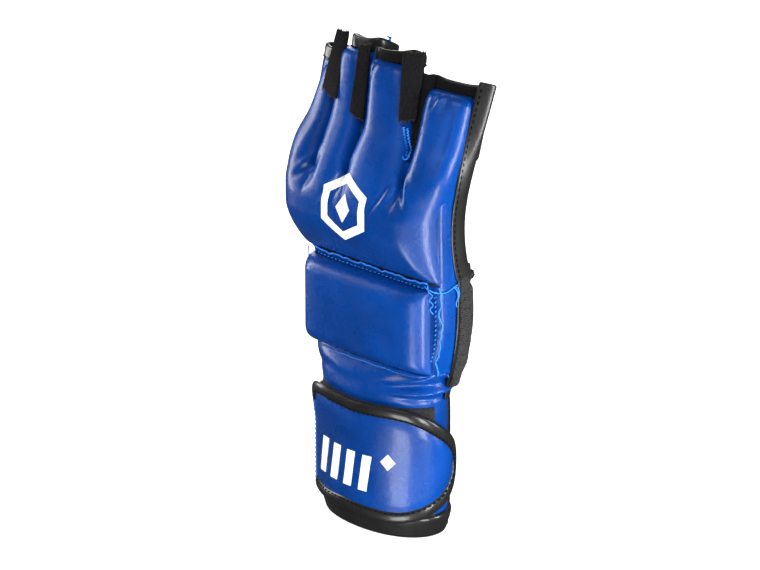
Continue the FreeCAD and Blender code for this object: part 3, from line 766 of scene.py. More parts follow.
# each lobe, by height above the knuckle axis: left edge x, y, right edge x, y, and how far it stands out
LOBES = {
    "little": [(-30, -47.0, -7, -26.4, -12.5, 14), (-5, -45.4, -6.0, -26.4, -11.2, 10.0),
               (5, -43.4, -5.2, -26.8, -9.4, 8.0), (20, -41.2, -4.6, -28.6, -8.4, 6.6), (32, -39.8, -4.4, -31.4, -8.0, 5.4)],
    "ring": [(-30, -26.4, -12.5, -6.2, -14, 15), (-5, -26.4, -11.2, -6.2, -12.4, 10.0),
             (5, -26.2, -9.8, -6.6, -11.4, 8.6), (20, -26.4, -9.4, -8.6, -10.6, 8.0), (42, -27.6, -9.4, -13.6, -10.6, 7.4)],
    "middle": [(-30, -6.2, -14, 27, -12, 15), (-5, -6.2, -12.4, 27, -9.4, 11.0),
               (5, -3.9, -11.6, 25.2, -8.4, 9.6), (20, -5.6, -11.2, 20.4, -7.8, 9.0), (41, -9.0, -11.6, 12.6, -7.8, 8.4)],
    "index": [(-30, 27, -12, 50.0, -4, 16), (-5, 27, -9.4, 50.2, -1.6, 13.0),
              (5, 26.0, -7.0, 49.8, 1.4, 12), (20, 24.8, -6.0, 49.0, 3.0, 11), (33, 25.0, -5.4, 48.0, 3.6, 9.5)],
}
SHARE = {"little": (0.0, 0.31), "ring": (0.31, 0.465), "middle": (0.465, 0.722), "index": (0.722, 1.0)}
ARC = run_along(FULL_LINE)
COLUMNS = {"little": 34, "ring": 30, "middle": 38, "index": 40}
CREASES = [(-29.5, 189, 35, 6.5, 1.5, 1.3), (-31, 184.5, 28, 6, 1.6, -1.3), (-24.5, 186, 65, 6, 1.4, -1.0),
           (-8.5, 187.5, 50, 7, 1.4, 1.3), (-10.5, 183, 45, 7, 1.6, -1.2), (-3.5, 184, 100, 6.5, 1.5, -0.9),
           (24, 186, 60, 8, 1.7, 1.5), (20.5, 183.5, 55, 8, 1.8, -1.5), (30, 185, 115, 7, 1.7, -1.1),
           (33, 188.5, 120, 6, 1.4, 1.0), (16.5, 180, 50, 9, 2.2, 0.8),
           (-33, 150, 60, 10, 3.0, 0.5), (38, 152, 115, 12, 3.0, 0.7), (10, 149, 0, 26, 2.4, 0.45),
           (38.5, 205, 88, 16, 2.4, -0.3), (44.8, 212, 91, 16, 1.8, -0.8), (34.5, 228, 80, 4.0, 0.9, -1.1),
           (38.8, 228.5, 95, 4.5, 0.9, -1.4), (42, 228, 100, 4, 0.9, -0.9),
           (-1.5, 236, 70, 5, 1.0, -0.7), (6.5, 237, 95, 4, 1.0, -0.5)]


def along_outline(line, t):
    """Points along a smooth line through the given corners, by share of their count."""
    rows = np.c_[np.linspace(0, 1, len(line)), np.array(line, float)]
    return table(rows, t)


def lobe_section(name, s, z):
    """Straight-hand points of one lobe: s across it from 0 to 1, z its heights; both are grids."""
    rise = z - KNUCKLE_AXIS[2]
    xl, yl, xr, yr, stand = np.moveaxis(table(LOBES[name], rise), -1, 0)
    top = TOP[name] - KNUCKLE_AXIS[2]
    end = np.clip((rise - (top - 6.5)) / 6.5, 0, 1)
    closing = np.maximum(1 - end ** 2.5, 0) ** (1 / 2.5)
    theta = math.pi * s
    across = -np.sign(np.cos(theta)) * np.abs(np.cos(theta)) ** 0.72
    height = stand * np.abs(np.sin(theta)) ** 0.80 * closing
    half = 0.5 * (1 - 0.30 * (1 - closing))
    mx, my, dx, dy = (xl + xr) / 2, (yl + yr) / 2, xr - xl, yr - yl
    size = np.hypot(dx, dy)
    x = mx + dx * half * across + dy / size * height
    y = my + dy * half * across - dx / size * height
    return np.stack([x, y, z], axis=-1), np.stack([mx + dx * half * across, my + dy * half * across, z], axis=-1)


REAR_LINE = [(x * 0.985, max(y, -15.8) if abs(x) < 48 else y) for x, y in SEAM_LINE]
SHEET_ROWS = 44  # rows below the slots, where the lobes are one sheet
GIRTH = 131.0    # the sheet's length from side to side
FAR = 99.0       # the distance to a neighbour that isn't there


def eased(count, share):
    """Steps from 0 to 1, some of them drawn towards both ends."""
    t = np.linspace(0, 1, count)
    return (1 - np.cos(math.pi * t)) / 2 * share + t * (1 - share)


def lobe_skins(name):
    """Front and rear grids of one lobe's share of the cover."""
    heights = np.r_[142 + (SLOT - 142) * np.linspace(0, 1, SHEET_ROWS) ** 1.15,
                    SLOT + (TOP[name] - SLOT) * np.sin(np.linspace(0, math.pi / 2, 40))[1:]]
    s, z = np.meshgrid(eased(COLUMNS[name], 0.35), heights)
    first, last = SHARE[name]
    t = np.interp(first + (last - first) * s, ARC / ARC[-1], np.linspace(0, 1, len(ARC)))
    fullness = (1 - np.clip((166 - z) / 24, 0, 1) ** 1.6) ** 0.77
    flat = mix(along_outline(SEAM_LINE, t), along_outline(FULL_LINE, t), fullness[..., None])
    lobe, root = lobe_section(name, s, z)
    gap_left = s * (last - first) * GIRTH if name != "little" else FAR + 0 * s
    gap_right = (1 - s) * (last - first) * GIRTH if name != "index" else FAR + 0 * s
    # where the sheet turns into lobes: early along the creases between them, later elsewhere
    crease = np.exp(-(np.minimum(gap_left, gap_right) / 3.2) ** 2)
    outer_side = smooth(1 - s) if name == "little" else 0 * s
    general = smooth((z - 173 - 9 * outer_side) / (26 - 4 * outer_side))
    local = crease * smooth((z - (SLOT - 13)) / 13) ** 1.5
    weight = np.maximum(general + (1 - general) * local, np.where(z >= SLOT, np.maximum(crease, general), 0))
    front = mix(np.dstack([flat, z]), lobe, weight[..., None])
    back = mix(np.dstack([along_outline(REAR_LINE, t), z]), root, smooth((z - 176) / 19)[..., None])
    border = np.zeros_like(s, bool)
    border[:, [0, -1]] = True
    closed = border & ((z >= SLOT - 1e-6) | ((gap_left == FAR) & (s < 0.5)) | ((gap_right == FAR) & (s > 0.5)))
    closed[[0, -1]] = True
    middle = np.where(z[..., None] >= SLOT, root, front)
    front, back = [np.where(closed[..., None], middle, grid) for grid in (front, back)]
    inside = smooth(np.minimum(s, 1 - s) * 12 + (z < SLOT - 6))
    front[..., 1] -= np.where(closed, 0, humps(front[..., 0], z, CREASES) * inside)
    return front, back


skins = [lobe_skins(lobe) for lobe in LOBES]
for one, other in zip(skins, skins[1:]):
    for a, b in zip(one, other):
        a[:SHEET_ROWS, -1] = b[:SHEET_ROWS, 0] = (a[:SHEET_ROWS, -1] + b[:SHEET_ROWS, 0]) / 2
grids = [curl(grid) for skin in skins for grid in skin]
knuckle_cover = soften(patchwork("knuckle_cover", grids, BLUE, (False, True)))
knuckle_tree = BVHTree.FromObject(knuckle_cover, bpy.context.evaluated_depsgraph_get())
EMBLEM = (-0.2, 174.2)


def on_knuckles(x, z):
    """Points of the knuckle cover found by rays towards the palm, and its outward directions."""
    hits = [knuckle_tree.ray_cast(Vector((a, -60, b)) * MM, Vector((0, 1, 0))) for a, b in zip(x, z)]
    out = [hit[1] * (1 if hit[1].y < 0 else -1) for hit in hits]
    return np.array([hit[0] for hit in hits]) / MM, np.array(out)


def hexagon_corner(i, radius):
    angle = math.pi / 2 + math.pi / 3 * i
    return EMBLEM[0] + radius * math.cos(angle) * 0.95, EMBLEM[1] + radius * math.sin(angle)


emblem = [[hexagon_corner(i + step, radius) for step, radius in ((0, 17.0), (1, 17.0), (1, 12.2), (0, 12.2))]
          for i in range(6)]
emblem += [[(EMBLEM[0] + x, EMBLEM[1] + z) for x, z in ((0, -7.2), (4.4, 0), (0, 7.2), (-4.4, 0))]]
knuckle_emblem = printed("knuckle_emblem", emblem, on_knuckles)


# ---- rectangular hand pad: a stuffed leather panel with a sewn flange

# the pad's outline across the hand where it is fullest, and at its seam: (x, y)
PAD_FULL = [(-35.2, -9), (-37.0, -13.5), (-36.6, -18.5), (-33.4, -22.8), (-27, -24.9), (-10, -25.7), (12, -25.7),
            (28, -25.3), (36.5, -24.0), (41.5, -20.6), (44.0, -16.6)]
PAD_FOOT = [(-35.0, -9), (-35.6, -12.5), (-34.2, -15), (-30.5, -16.2), (-24, -16.6), (-10, -16.7), (12, -16.7),
            (28, -16.7), (38, -16.6), (42.5, -16.4), (44.2, -15.8)]


def hand_pad_grids():
    """Front and rear grids of the pad's cover, which meet at its seam."""
    t, v = np.meshgrid(eased(66, 0.4), eased(40, 0.7))
    near = np.minimum(v / 0.17, (1 - v) / 0.15)
    full = (1 - np.clip(1 - near, 0, 1) ** 2.1) ** (1 / 2.1)
    pull = 0.6 * np.sin(math.pi * np.clip(t, 0, 1)) ** 0.5
    foot, top = along_outline(PAD_FOOT, t), along_outline(PAD_FULL, t)
    z = 92.6 + 45.4 * v + (v - 0.5) * 2 * (-0.9 + pull) * (1 - full)
    front = np.dstack([mix(foot, top, full[..., None]), z])
    back = np.dstack([foot + [0, 0.5], z])
    for side in (0, -1):
        back[side] = front[side]
        back[:, side] = front[:, side]
    return front, back


HELD_DEPTH = -17.2  # the cover behind this depth is sewn down


def inflate(obj, pressure, cap, frames=14):
    """Blows a sewn cover up like a stuffed cushion, with its rear held, and keeps each point near where it was."""
    before = np.array([v.co for v in obj.data.vertices])
    held = obj.vertex_groups.new(name="held")
    depth = before[:, 1] / MM
    for i, y in enumerate(depth):
        held.add([i], 1.0 if y > HELD_DEPTH else (0.35 if y > -20 else 0.04), "REPLACE")
    cloth = obj.modifiers.new("cloth", "CLOTH")
    settings = cloth.settings
    settings.quality = 6
    settings.mass = 0.3
    settings.tension_stiffness = settings.compression_stiffness = 30
    settings.bending_stiffness = 12
    settings.use_pressure = True
    settings.uniform_pressure_force = pressure
    settings.effector_weights.gravity = 0
    settings.vertex_group_mass = "held"
    cloth.collision_settings.use_collision = False
    scene = bpy.context.scene
    for frame_number in range(1, frames + 1):
        scene.frame_set(frame_number)
    graph = bpy.context.evaluated_depsgraph_get()
    moved = np.array([v.co for v in obj.evaluated_get(graph).data.vertices])
    obj.modifiers.remove(cloth)
    scene.frame_set(1)
    step = moved - before
    ends = np.array([edge.vertices[:] for edge in obj.data.edges])
    ends = np.vstack([ends, ends[:, ::-1]])
    neighbours = np.bincount(ends[:, 0])[:, None]
    # only the broad swelling is kept, not the small crumples of the sewn ends
    for _ in range(60):
        total = np.zeros_like(step)
        np.add.at(total, ends[:, 0], step[ends[:, 1]])
        step = total / neighbours * (depth <= HELD_DEPTH)[:, None]
    size = np.linalg.norm(step, axis=1, keepdims=True)
    step *= np.minimum(1, cap * MM / np.maximum(size, 1e-9))
    for vertex, place in zip(obj.data.vertices, before + step):
        vertex.co = place


hand_pad = patchwork("hand_pad", hand_pad_grids(), BLUE, (False, True))
inflate(hand_pad, 1.2, 0.7)
soften(hand_pad)

# top flange: it stands a little off the hand, and its raw edge shows bright blue
x = np.linspace(-34.5, 43.5, 120)
wave = 0.45 * np.sin(x / 2.9) + 0.35 * np.sin(x / 1.37 + 1) + 0.25 * np.sin(x / 0.8)
flange = [back_face(x, z + rise * (0.9 * wave + 0.4)) - np.outer(proud + ruffle * wave, [0, 1, 0])
          for z, rise, proud, ruffle in ((137.0, 0, 0.5, 0), (138.6, 0, 0.5, 0),
                                         (140.0, 0, 1.3, 0.5), (141.3, 1, 2.6, 0.5))]
top_flange = sheet_skin("pad_flange_top", flange, BLUE, 0.9)
top_raw = tube("pad_raw_edge_top", flange[-1] + [0, -0.15, 0.1], 0.42, CUT, 6, False)
top_stitches = stitch_row("pad_stitches_top", back_face(x, 138.5 + 0 * x) + [0, -0.95, 0], [0, -1, 0], CYAN,
                          2.6, 1.5, 0.28, 0.0, 0.1)

# flange along the thumb's side: stitches near the pad, then a raw edge that wanders
z = np.linspace(91.5, 140.5, 110)
wander = (0.12 * np.sin(z / 2.3) + 0.12 * np.sin(z / 0.9) - 0.6 * np.exp(-((z - 126) / 2.2) ** 2)
          + 0.3 * np.exp(-((z - 121.5) / 2.0) ** 2))
foot = 2.8 * smooth((101 - z) / 9)
flange = [side_face(z, y + foot * share + wander * free, proud)
          for y, proud, share, free in ((-15.9, 0.5, 0.25, 0), (-15.4, 0.6, 0.5, 0),
                                        (-14.7, 0.8, 0.75, 0.5), (-13.7, 1.2, 1, 1))]
side_flange = sheet_skin("pad_flange_side", flange, BLUE, 0.9, flip=True)
side_raw = tube("pad_raw_edge_side", flange[-1], 0.45, CUT, 6, False)
side_stitches = stitch_row("pad_stitches_side", side_face(z[2:-2], -14.85 + 0.35 * foot[2:-2], 1.05),
                           [0.55, -0.83, 0], CYAN, 2.5, 1.5, 0.36, 0.05, 0.2, 0.5)

# bottom flange: a thin bright line that runs down to the thumb's side
x = np.linspace(-27, 46.5, 120)
z = 90.7 - 0.7 * smooth((x - 15) / 28) + 0.12 * np.sin(x / 2.1)
flange = [back_face(x, z + rise) - [0, proud, 0] for rise, proud in ((1.6, 0.7), (0.2, 1.1), (-0.5, 1.0))]
bottom_flange = sheet_skin("pad_flange_bottom", flange, BLUE, 0.8)
bottom_raw = tube("pad_raw_edge_bottom", flange[-1] + [0, -0.4, 0.1], 0.3, CUT, 6, False)

THREADS = [
    (0.28, (43.8, -18.4, 141.5), (44.6, -18.6, 138.5), (46.2, -17.4, 136.2), (44.9, -18.2, 134.0),
     (46.4, -17.2, 131.5), (45.2, -18.0, 129.0), (46.6, -17.0, 126.4)),
    (0.28, (42.0, -18.5, 140.5), (45.0, -18.8, 139.5), (47.5, -16.5, 138.0), (49.6, -12.5, 137.2),
     (50.6, -7.0, 138.6), (50.9, -3.8, 139.6)),
    (0.34, (49.9, -6.5, 139.0), (50.7, -4.4, 136.5), (50.8, -3.6, 133.0), (50.4, -4.6, 129.5), (50.7, -3.8, 127.0)),
    (0.30, (50.0, -6.2, 139.2), (50.9, -4.0, 137.5), (51.1, -3.0, 134.0), (50.8, -3.9, 130.2)),
    (0.30, (-35.5, -17.5, 142.0), (-36.8, -16.6, 139.5), (-37.2, -16.0, 136.0), (-36.9, -16.6, 133.5)),
]
pad_threads = join("pad_loose_threads",
                   [tube("thread", spline(line, 60), radius, CYAN) for radius, *line in THREADS])

# a black strip in the gap between the two pads: partly the lining that shows there, partly painted shadow under the
# knuckle cover's undercut
x = np.linspace(-37.5, 46.5, 90)
gap = [back_face(x, 0 * x + z) + [0, -0.35, 0] for z in (138.8, 141, 143.5, 146)]
lining_and_painted_shadow_strip = sheet_skin("lining_and_painted_shadow_strip", gap, LINING, 0.5, 0)


# ---- finger stalls

# each stall: x and y of its back face's middle, the way it faces and its lean in degrees, width, length, depth
STALLS = {
    "little": (-38.2, -10.0, -9, 2, 15.0, 39.5, 16.0),
    "ring": (-13.6, -14.0, -2, 5, 19.5, 49.6, 18.0),
    "middle": (10.8, -13.8, 14, 9, 22.5, 48.2, 17.0),
    "index": (37.4, -3.2, 21, 0, 28.5, 40.2, 16.5),
}


def stall_place(name, x, y, z):
    """World points from a stall's own measures: x across its face, y towards the palm, z up from the knuckles."""
    side, depth, facing, lean = STALLS[name][:4]
    f, l = math.radians(facing), math.radians(lean)
    x, y, z = np.broadcast_arrays(np.asarray(x, float), np.asarray(y, float), np.asarray(z, float))
    across = x * math.cos(l) - z * math.sin(l)
    up = x * math.sin(l) + z * math.cos(l)
    p = np.stack([side + across * math.cos(f) - y * math.sin(f),
                  KNUCKLE_AXIS[1] + depth + across * math.sin(f) + y * math.cos(f), KNUCKLE_AXIS[2] + up], axis=-1)
    return curl(p)


SQUARENESS = 3.4


def loop_xy(name, angle, grow=0.0):
    """The stall's rounded outline: angle -90 is the middle of its back face."""
    width, depth = STALLS[name][4], STALLS[name][6]
    c, s = np.cos(angle), np.sin(angle)
    x = (width / 2 + grow) * np.sign(c) * np.abs(c) ** (2 / SQUARENESS)
    y = depth / 2 + (depth / 2 + grow) * np.sign(s) * np.abs(s) ** (2 / SQUARENESS)
    return x, y


TILT = {"little": 1.0, "ring": 4.2, "middle": 4.2, "index": 6.5}


def dip(name, angle):
    """How far the rim's edge drops: in the middle of the back face, and all along the palm side."""
    front = np.clip(-np.sin(angle), 0, 1)
    depth = loop_xy(name, angle)[1] / STALLS[name][6]
    return -1.9 * front ** 4 - TILT[name] * np.clip(depth, 0, 1)


RIM_FOLD = [(-7.9, 0.15), (-7.7, 0.75), (-5, 0.95), (-2, 1.1), (-0.4, 1.0), (0.35, 0.2), (0.4, -0.9), (-0.3, -1.9),
            (-2, -2.2), (-5.8, -2.1), (-6.0, -1.5), (-5.0, -1.2)]
walls, rims, rim_stitches, stall_backs = {}, {}, {}, {}
for finger, (*_, length, _) in STALLS.items():
    turn = np.linspace(0, 2 * math.pi, 60, endpoint=False)
    heights = np.linspace(13 if finger == "index" else 7.5, length - 6, 14)
    points = [p for h in heights
              for p in stall_place(finger, *loop_xy(finger, turn), h + dip(finger, turn) * smooth((h - 15) / 20))]
    wall = new_object(finger + "_stall_loop", points, grid_faces(len(heights), len(turn), True), BLACK)
    walls[finger] = thicken(fix_normals(wall), 1.4, 0, even=False)

    # rim: glossy tape folded over the top, with one row of stitches near its lower edge
    turn = np.linspace(0, 2 * math.pi, 72, endpoint=False)
    points = []
    for h, out in RIM_FOLD:
        points += [*stall_place(finger, *loop_xy(finger, turn, out * 0.8), length + h + dip(finger, turn) * (1 + h / 16))]
    faces = grid_faces(len(RIM_FOLD), len(turn), True) + wrap_faces(len(RIM_FOLD), len(turn))
    rims[finger] = soften(fix_normals(new_object(finger + "_rim_tape", points, faces, BINDING)))
    turn = arc(0, 360, 160)
    path = stall_place(finger, *loop_xy(finger, turn, 0.78), length - 6.4 + dip(finger, turn) * 0.6)
    centre = stall_place(finger, 0, 9, length - 6.4)
    rim_stitches[finger] = stitch_row(finger + "_rim_stitches", path, unit(path - centre), THREAD,
                                      2.6, 1.9, 0.3, 0.05)

    # blue leather on the stall's back, under the padded lobe
    turn = math.radians(-90) + np.linspace(-1, 1, 22) * math.radians(66 if finger == "index" else 52)
    skin = [stall_place(finger, *loop_xy(finger, turn, 0.35), h) for h in np.linspace(-6, length - 7.2, 16)]
    stall_backs[finger] = sheet_skin(finger + "_back_leather", skin, BLUE, 0.9)

# palm side: the palm leather runs on into a tongue behind each finger
WEB = {"little": (-42.0, -28.6), "ring": (-28.6, -4.4), "middle": (-4.4, 22.5), "index": (22.5, 43.5)}
VALLEY = 197.0


def web_grid(name):
    """The palm leather behind one finger, from the palm's shape to the stall's."""
    first, last = WEB[name]
    side, depth, facing, lean, width, _, thick = STALLS[name]
    heights = np.r_[np.linspace(181, VALLEY, 10), np.linspace(VALLEY, 218, 12)[1:]]
    s, z = np.meshgrid(np.linspace(0, 1, 18), heights)
    palm = palm_point(first + (last - first) * s, np.minimum(z, 199.0))
    palm[..., 2] = z
    f = math.radians(facing)
    local = (s - 0.5) * (width * 0.98)
    rise = z - KNUCKLE_AXIS[2]
    lobe = np.stack([side + (local - rise * math.sin(math.radians(lean))) * math.cos(f) - (thick + 0.5) * math.sin(f),
                     KNUCKLE_AXIS[1] + depth + local * math.sin(f) + (thick + 0.5) * math.cos(f)
                     - 1.2 * np.abs(2 * s - 1) ** 3, z], axis=-1)
    w = smooth((z - 184) / 24)
    w = np.where(z > VALLEY, np.maximum(w, smooth((z - VALLEY) / 5)), w)
    p = mix(palm, lobe, w[..., None])
    p[..., 0] = mix(palm[..., 0], lobe[..., 0], np.where(z > VALLEY, smooth((z - VALLEY + 1) / 6), 0 * z))
    p[..., 1] -= 2.4 * smooth((z - VALLEY) / 6) * np.abs(2 * s - 1) ** 6
    return curl(p)


palm_web = thicken(patchwork("palm_web", [web_grid(finger) for finger in WEB], BLACK), 1.4, 1, 1.0, quality=True)
x = np.linspace(-39, 40, 140)
web_stitches = stitch_row("palm_web_stitches", curl(palm_point(x, 184.2 + 0 * x, 2.0)), [0, 1, 0], THREAD,
                          3.0, 2.1, 0.36, 0.1)


# ---- elastic strips between the fingers

def strip(name, top, bottom, bow, rows=30, columns=9):
    """A flat band of ribbed elastic: its top and bottom edges as (left, right) points, bowed a little outwards."""
    (tl, tr), (bl, br) = np.array(top, float), np.array(bottom, float)
    t, s = np.meshgrid(np.linspace(0, 1, rows), np.linspace(0, 1, columns), indexing="ij")
    p = mix(mix(bl, br, s[..., None]), mix(tl, tr, s[..., None]), t[..., None])
    out = unit(np.cross(tr - tl, (tl - bl)))
    out = out if out[1] < 0 else -out
    p = p + out * (bow * np.sin(math.pi * t) + 0.35 * np.sin(math.pi * s) + 0.25 * np.sin(5 * t + 2 * s))[..., None]
    p[..., 2] += 0.35 * np.sin(9 * s) * (np.abs(2 * t - 1) > 0.93)
    return sheet_skin(name, p, ELASTIC, 1.5), p


STRIPS = {
    "little_ring": ([(-32.4, -0.7, 251.6), (-25.8, 2.1, 251.1)], [(-33.7, -10.2, 222.9), (-20.9, -13.7, 221.0)], 0.6),
    "ring_middle": ([(-13.4, -5.2, 249.0), (-8.8, -0.9, 249.5)], [(-10.7, -15.6, 217.6), (-2.9, -13.3, 214.2)], 0.4),
    "middle_index": ([(10.4, 0.5, 249.7), (19.3, 8.4, 249.4)], [(19.7, -13.4, 219.5), (26.1, -7.2, 220.2)], 0.3),
}
strips, frays = {}, []
for pair, edges in STRIPS.items():
    strips[pair], grid = strip(pair + "_strip", *edges)
    whiskers = []
    for line, sign in ((grid[0], -1), (grid[-1], 1)):
        for _ in range(34):
            s = rng.uniform(0, len(line) - 1.001)
            i = int(s)
            start = mix(line[i], line[i + 1], s - i) + rng.normal(0, 0.15, 3)
            tip = start + [rng.normal(0, 0.45), rng.normal(0, 0.35), sign * rng.uniform(0.3, 1.1)]
            whiskers.append(tube("whisker", [start - [0, 0, 0.5 * sign], start, tip], 0.13, FRAY, 4))
    frays.append(join(pair + "_fray", whiskers))

# the index stall's inner wall, and the bright zigzag stitches in the slot beside it
inner_wall, _ = strip("index_inner_wall", [(18.2, 4.4, 239.8), (26.2, 7.3, 239.9)],
                      [(25.4, -11.4, 206.0), (30.0, -8.4, 204.0)], 0.0)
lines = []
for side in (0.0, 2.5):
    line = spline([(21.9 + side, -11.6, 217.0), (23.6 + side, -12.4, 211.0), (25.0 + side, -12.6, 206.0),
                   (25.9 + side * 0.4, -14.6, 203.0)], 40)
    line[:, 0] += 0.42 * np.where(np.arange(40) % 4 < 2, 1, -1)
    line[:, 1] += 0.25 * np.sin(np.arange(40) * 1.7)
    lines.append((line, 0.33))
slot_end = [(24.4, -15.2, 203.6), (25.8, -15.8, 202.2), (27.4, -15.0, 202.6), (27.8, -13.6, 204.4)]
lines.append((spline(slot_end, 24), 0.4))
start = stall_place("ring", 8.8, 10.0, 49.0)
for k in range(5):
    tuft = [start - [0.5 * k, 0, 1.5], start + [0.4 * k - 1.2, -0.4, 0.3],
            start + [0.8 * k - 2.2, -0.8, 0.9 + 0.3 * (k % 2)]]
    lines.append((spline(tuft, 12), 0.3))
slot_threads = join("slot_threads", [tube("thread", line, radius, CYAN, 6) for line, radius in lines])


# ---- thumb's side: black elastic, and the folded edge of the thumb's opening

z = np.linspace(79.5, 147, 44)
zz, tt = np.meshgrid(z, np.linspace(0, 1, 20), indexing="ij")
yy = mix(table([(79, 1.5), (84, 0.5), (98, -2.2), (146, -1.6)], zz),
         table([(79, 6.0), (86, 7.5), (100, 8.4), (146, 8.2)], zz), tt)
band = side_face(zz, yy, 0.9)
swell = 1.6 * np.sin(math.pi * tt) ** 0.7 * (0.3 + 0.7 * np.exp(-((zz - 108) / 22) ** 2)) + 0.5
loose_end = 3.6 * smooth((zz - 78.5) / 3) * np.exp(-((zz - 80) / 8.0) ** 2) * np.sin(math.pi * tt) ** 0.5
band[..., 0] += (swell * smooth((zz - 77) / 7) + loose_end + 0.18 * np.sin(zz / 1.9 + 3 * tt)
                 - 0.035 * np.clip(yy, 0, 12) ** 1.9 * smooth((zz - 95) / 12))
thumb_elastic = sheet_skin("thumb_elastic", band, KNIT, 1.6)
path = side_face(z, table([(79, 1.2), (84, 0.0), (98, -2.9), (146, -2.4)], z), 0.9)
elastic_edge = sweep("thumb_elastic_edge", path, [1, -0.25, 0],
                     [(-0.7, -0.5), (-0.75, 0.35), (0, 0.6), (0.75, 0.35), (0.7, -0.5)], BINDING, levels=0)
zz, tt = np.meshgrid(np.linspace(72.5, 80.5, 8), np.linspace(0, 1, 6), indexing="ij")
elastic_tab = sheet_skin("thumb_elastic_tab", side_face(zz, 1.5 + 6.5 * tt, 1.1), BLACK, 1.2)

outer = spline([(50.6, 5.4, 142), (50.3, 3.2, 151), (50.1, 1.9, 160), (50.2, 1.5, 172), (50.9, 2.7, 184),
                (52.1, 6.2, 199), (53.4, 10.8, 214), (54.0, 16.0, 228), (54.2, 20.6, 239.6)], 110)
across = mix(np.array([[0.02, 1.0, 0.0]]), np.array([[0.42, 0.90, 0.05]]), smooth((outer[:, 2:] - 180) / 45))
middle = outer - across * 4.7
outward = unit(np.cross(unit(np.gradient(outer, axis=0)), across))
outward = np.where(outward[:, :1] < 0, -outward, outward)
THUMB_TAPE = [(-5.0, -0.2), (-4.9, 0.45), (-4.1, 0.8), (-2.6, 0.85), (0, 1.35), (3.2, 1.3), (4.6, 0.8), (4.9, -0.3),
              (4.6, -1.6), (3.2, -2.2), (-1.5, -2.2), (-3, -1.4), (-4, -0.5)]
side = np.cross(np.gradient(middle, axis=0), outward)
sign = 1 if np.sum(side * across) > 0 else -1
thumb_binding = sweep("thumb_edge_tape", middle, outward, [(sign * a, b) for a, b in THUMB_TAPE], BINDING)
thumb_binding_stitches = stitch_row("thumb_edge_stitches", middle - across * 3.3 + outward * 0.65, outward, THREAD,
                                    3.1, 2.4, 0.42, 0.0, 0.12)

knot = []
for _ in range(7):
    points = [[50.9, 6.2, 142.2] + rng.normal(0, 1.0, 3) * [0.6, 1, 1.1] for _ in range(5)]
    knot.append(tube("thread", spline(points, 24), 0.42, BINDING, 6))
edge_knot = join("thumb_edge_knot", knot)

# little finger's edge: a narrow folded tape down the outer side of its stall
path = stall_place("little", -STALLS["little"][4] / 2 - 0.5, 5.5, np.linspace(4, 38.5, 40))
little_edging = sweep("little_edge_tape", path, [-1, -0.1, 0],
                      [(-4.2, -0.6), (-4.2, 0.4), (-3.2, 0.9), (0, 1.1), (3.2, 0.9), (4.2, 0.4), (4.2, -0.6),
                       (0, -0.9)], BINDING)


# ---- which body each piece moves with, and which CAD parts are hidden

def rides(body, *objects):
    for obj in objects:
        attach(obj, body)


def at(z, y=0.0):
    return (0.0, y * MM, z * MM)


rides("cuff", cuff_hem, hem_stitches, wrist_lining, loop_patch, palm_elastic, anchor_face, anchor_edging,
      anchor_stitches)
rides("strap", strap_face, strap_back, strap_hook, strap_edging, strap_stitches, strap_seam, strap_seam_edge,
      strap_marks)
rides("hand", window_edging, thumb_edging, window_stitches, hand_pad, top_flange, top_raw, top_stitches,
      side_flange, side_raw, side_stitches, bottom_flange, bottom_raw, pad_threads, lining_and_painted_shadow_strip, thumb_elastic,
      elastic_edge, elastic_tab, edge_knot)
rides("fingers", little_edging, inner_wall, slot_threads, *strips.values(), *frays)
for finger in STALLS:
    rides("fingers", walls[finger], rims[finger], rim_stitches[finger], stall_backs[finger])
for obj in (back_leather, hand_lining, palm_leather):
    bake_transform(obj)
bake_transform(strap_hinge)
for obj in (knuckle_cover, knuckle_emblem, palm_web, web_stitches, thumb_binding, thumb_binding_stitches):
    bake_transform(obj)

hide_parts("cuff_dorsal_panel", "dorsal_panel", "little_side_panel", "thumb_side_wrap")
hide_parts("dorsal_lining")
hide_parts("cuff_palmar_panel", "palm_panel")
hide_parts("palm_window_binding")
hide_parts("thumb_hole_binding")
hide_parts("cuff_lining")
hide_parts("cuff_hem_binding")
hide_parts("loop_pile_patch")
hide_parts("cuff_elastic_band")
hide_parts("strap_anchor_band")
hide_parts("strap_face")
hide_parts("strap_backing")
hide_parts("strap_hook_patch")
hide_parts("strap_edge_binding")
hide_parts("hand_pad_cover", "hand_pad_foam")
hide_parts("hand_pad_stitching")
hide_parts("thumb_side_elastic")
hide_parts("thumb_edge_binding", "index_edge_binding")
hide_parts("little_edge_binding")
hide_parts("knuckle_pad_cover", "knuckle_pad_foam",
            *[f + part for f in STALLS for part in ("_finger_pad_cover", "_finger_foam")])
for finger in STALLS:
    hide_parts(finger + "_stall")
    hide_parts(finger + "_rim_binding")
for pair, obj in strips.items():
    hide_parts(pair + "_gusset")


# ---- floor, light and camera

FLOOR = Surface("pale_floor").finish(Base_Color=(0.9, 0.9, 0.9, 1), Roughness=0.9, Emission_Color=(1, 1, 1, 1),
                                     Emission_Strength=0.62)
floor = new_object("floor", [(-6000, -6000, 0), (6000, -6000, 0), (6000, 6000, 0), (-6000, 6000, 0)],
                   [(0, 1, 2, 3)], FLOOR)
floor.location.z = -0.0005
floor.visible_glossy = floor.visible_diffuse = floor.visible_shadow = False

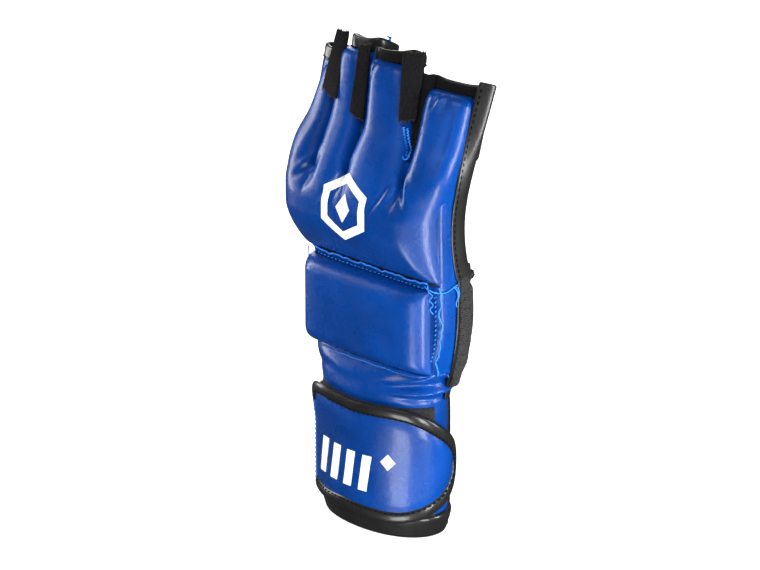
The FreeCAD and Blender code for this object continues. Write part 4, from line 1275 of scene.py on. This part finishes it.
world = bpy.data.worlds.new("studio")
world.use_nodes = True
world.node_tree.nodes["Background"].inputs["Color"].default_value = (1, 1, 1, 1)
world.node_tree.nodes["Background"].inputs["Strength"].default_value = 0.08
bpy.context.scene.world = world
bpy.context.scene.view_settings.view_transform = "Standard"

# the glove's middle, and the photo's directions: to the camera, to the right, level and away from the glove, up
TARGET = Vector((-2.2, -2.0, 124.4)) * MM
TOWARDS = Vector((0.6204, -0.689, 0.3746)).normalized()
RIGHT = Vector((0.743, 0.669, 0))
AHEAD = Vector((0.669, -0.743, 0))
UP = Vector((0, 0, 1))


def area_light(name, offset, width, power, height=None, unseen_by=None):
    """A soft light that faces the glove's middle, placed from there in metres."""
    light = bpy.data.lights.new(name, "AREA")
    light.shape = "RECTANGLE"
    light.size = width
    light.size_y = height or width
    light.energy = power
    obj = linked(name, light)
    obj.location = TARGET + offset
    obj.rotation_euler = (-offset).to_track_quat("-Z", "Y").to_euler()
    if unseen_by:
        setattr(obj, "visible_" + unseen_by, False)


area_light("right_softbox", RIGHT * 0.75 + TOWARDS * 0.42 - UP * 0.04, 0.2, 10, 0.5)
area_light("left_softbox", -RIGHT * 0.86 - TOWARDS * 0.36 + UP * 0.34, 0.3, 12, 0.9)
area_light("top_softbox", TOWARDS * 0.5 + UP * 0.95 - RIGHT * 0.15, 0.7, 5)
area_light("low_right_card", RIGHT * 0.13 + AHEAD * 0.31 - UP * 0.085, 0.09, 1.3, 0.15, "camera")
area_light("back_softbox", -AHEAD * 1.1 + UP * 0.45, 0.8, 9)
area_light("front_fill", TOWARDS * 1.3 - RIGHT * 0.35 + UP * 0.35, 0.9, 12, unseen_by="glossy")
# what a white table would give back
area_light("floor_bounce", AHEAD * 0.45 - UP * 0.36, 0.6, 1.5, unseen_by="glossy")
area_light("under_card", -RIGHT * 0.17 + AHEAD * 0.42 - UP * 0.30, 0.2, 2.4, unseen_by="diffuse")

camera_data = bpy.data.cameras.new("camera")
camera_data.lens = 300
camera_data.sensor_width = 36
camera = linked("camera", camera_data)
camera.location = TARGET + TOWARDS * 3.141
camera.rotation_euler = (-TOWARDS).to_track_quat("-Z", "Y").to_euler()
bpy.context.scene.camera = camera
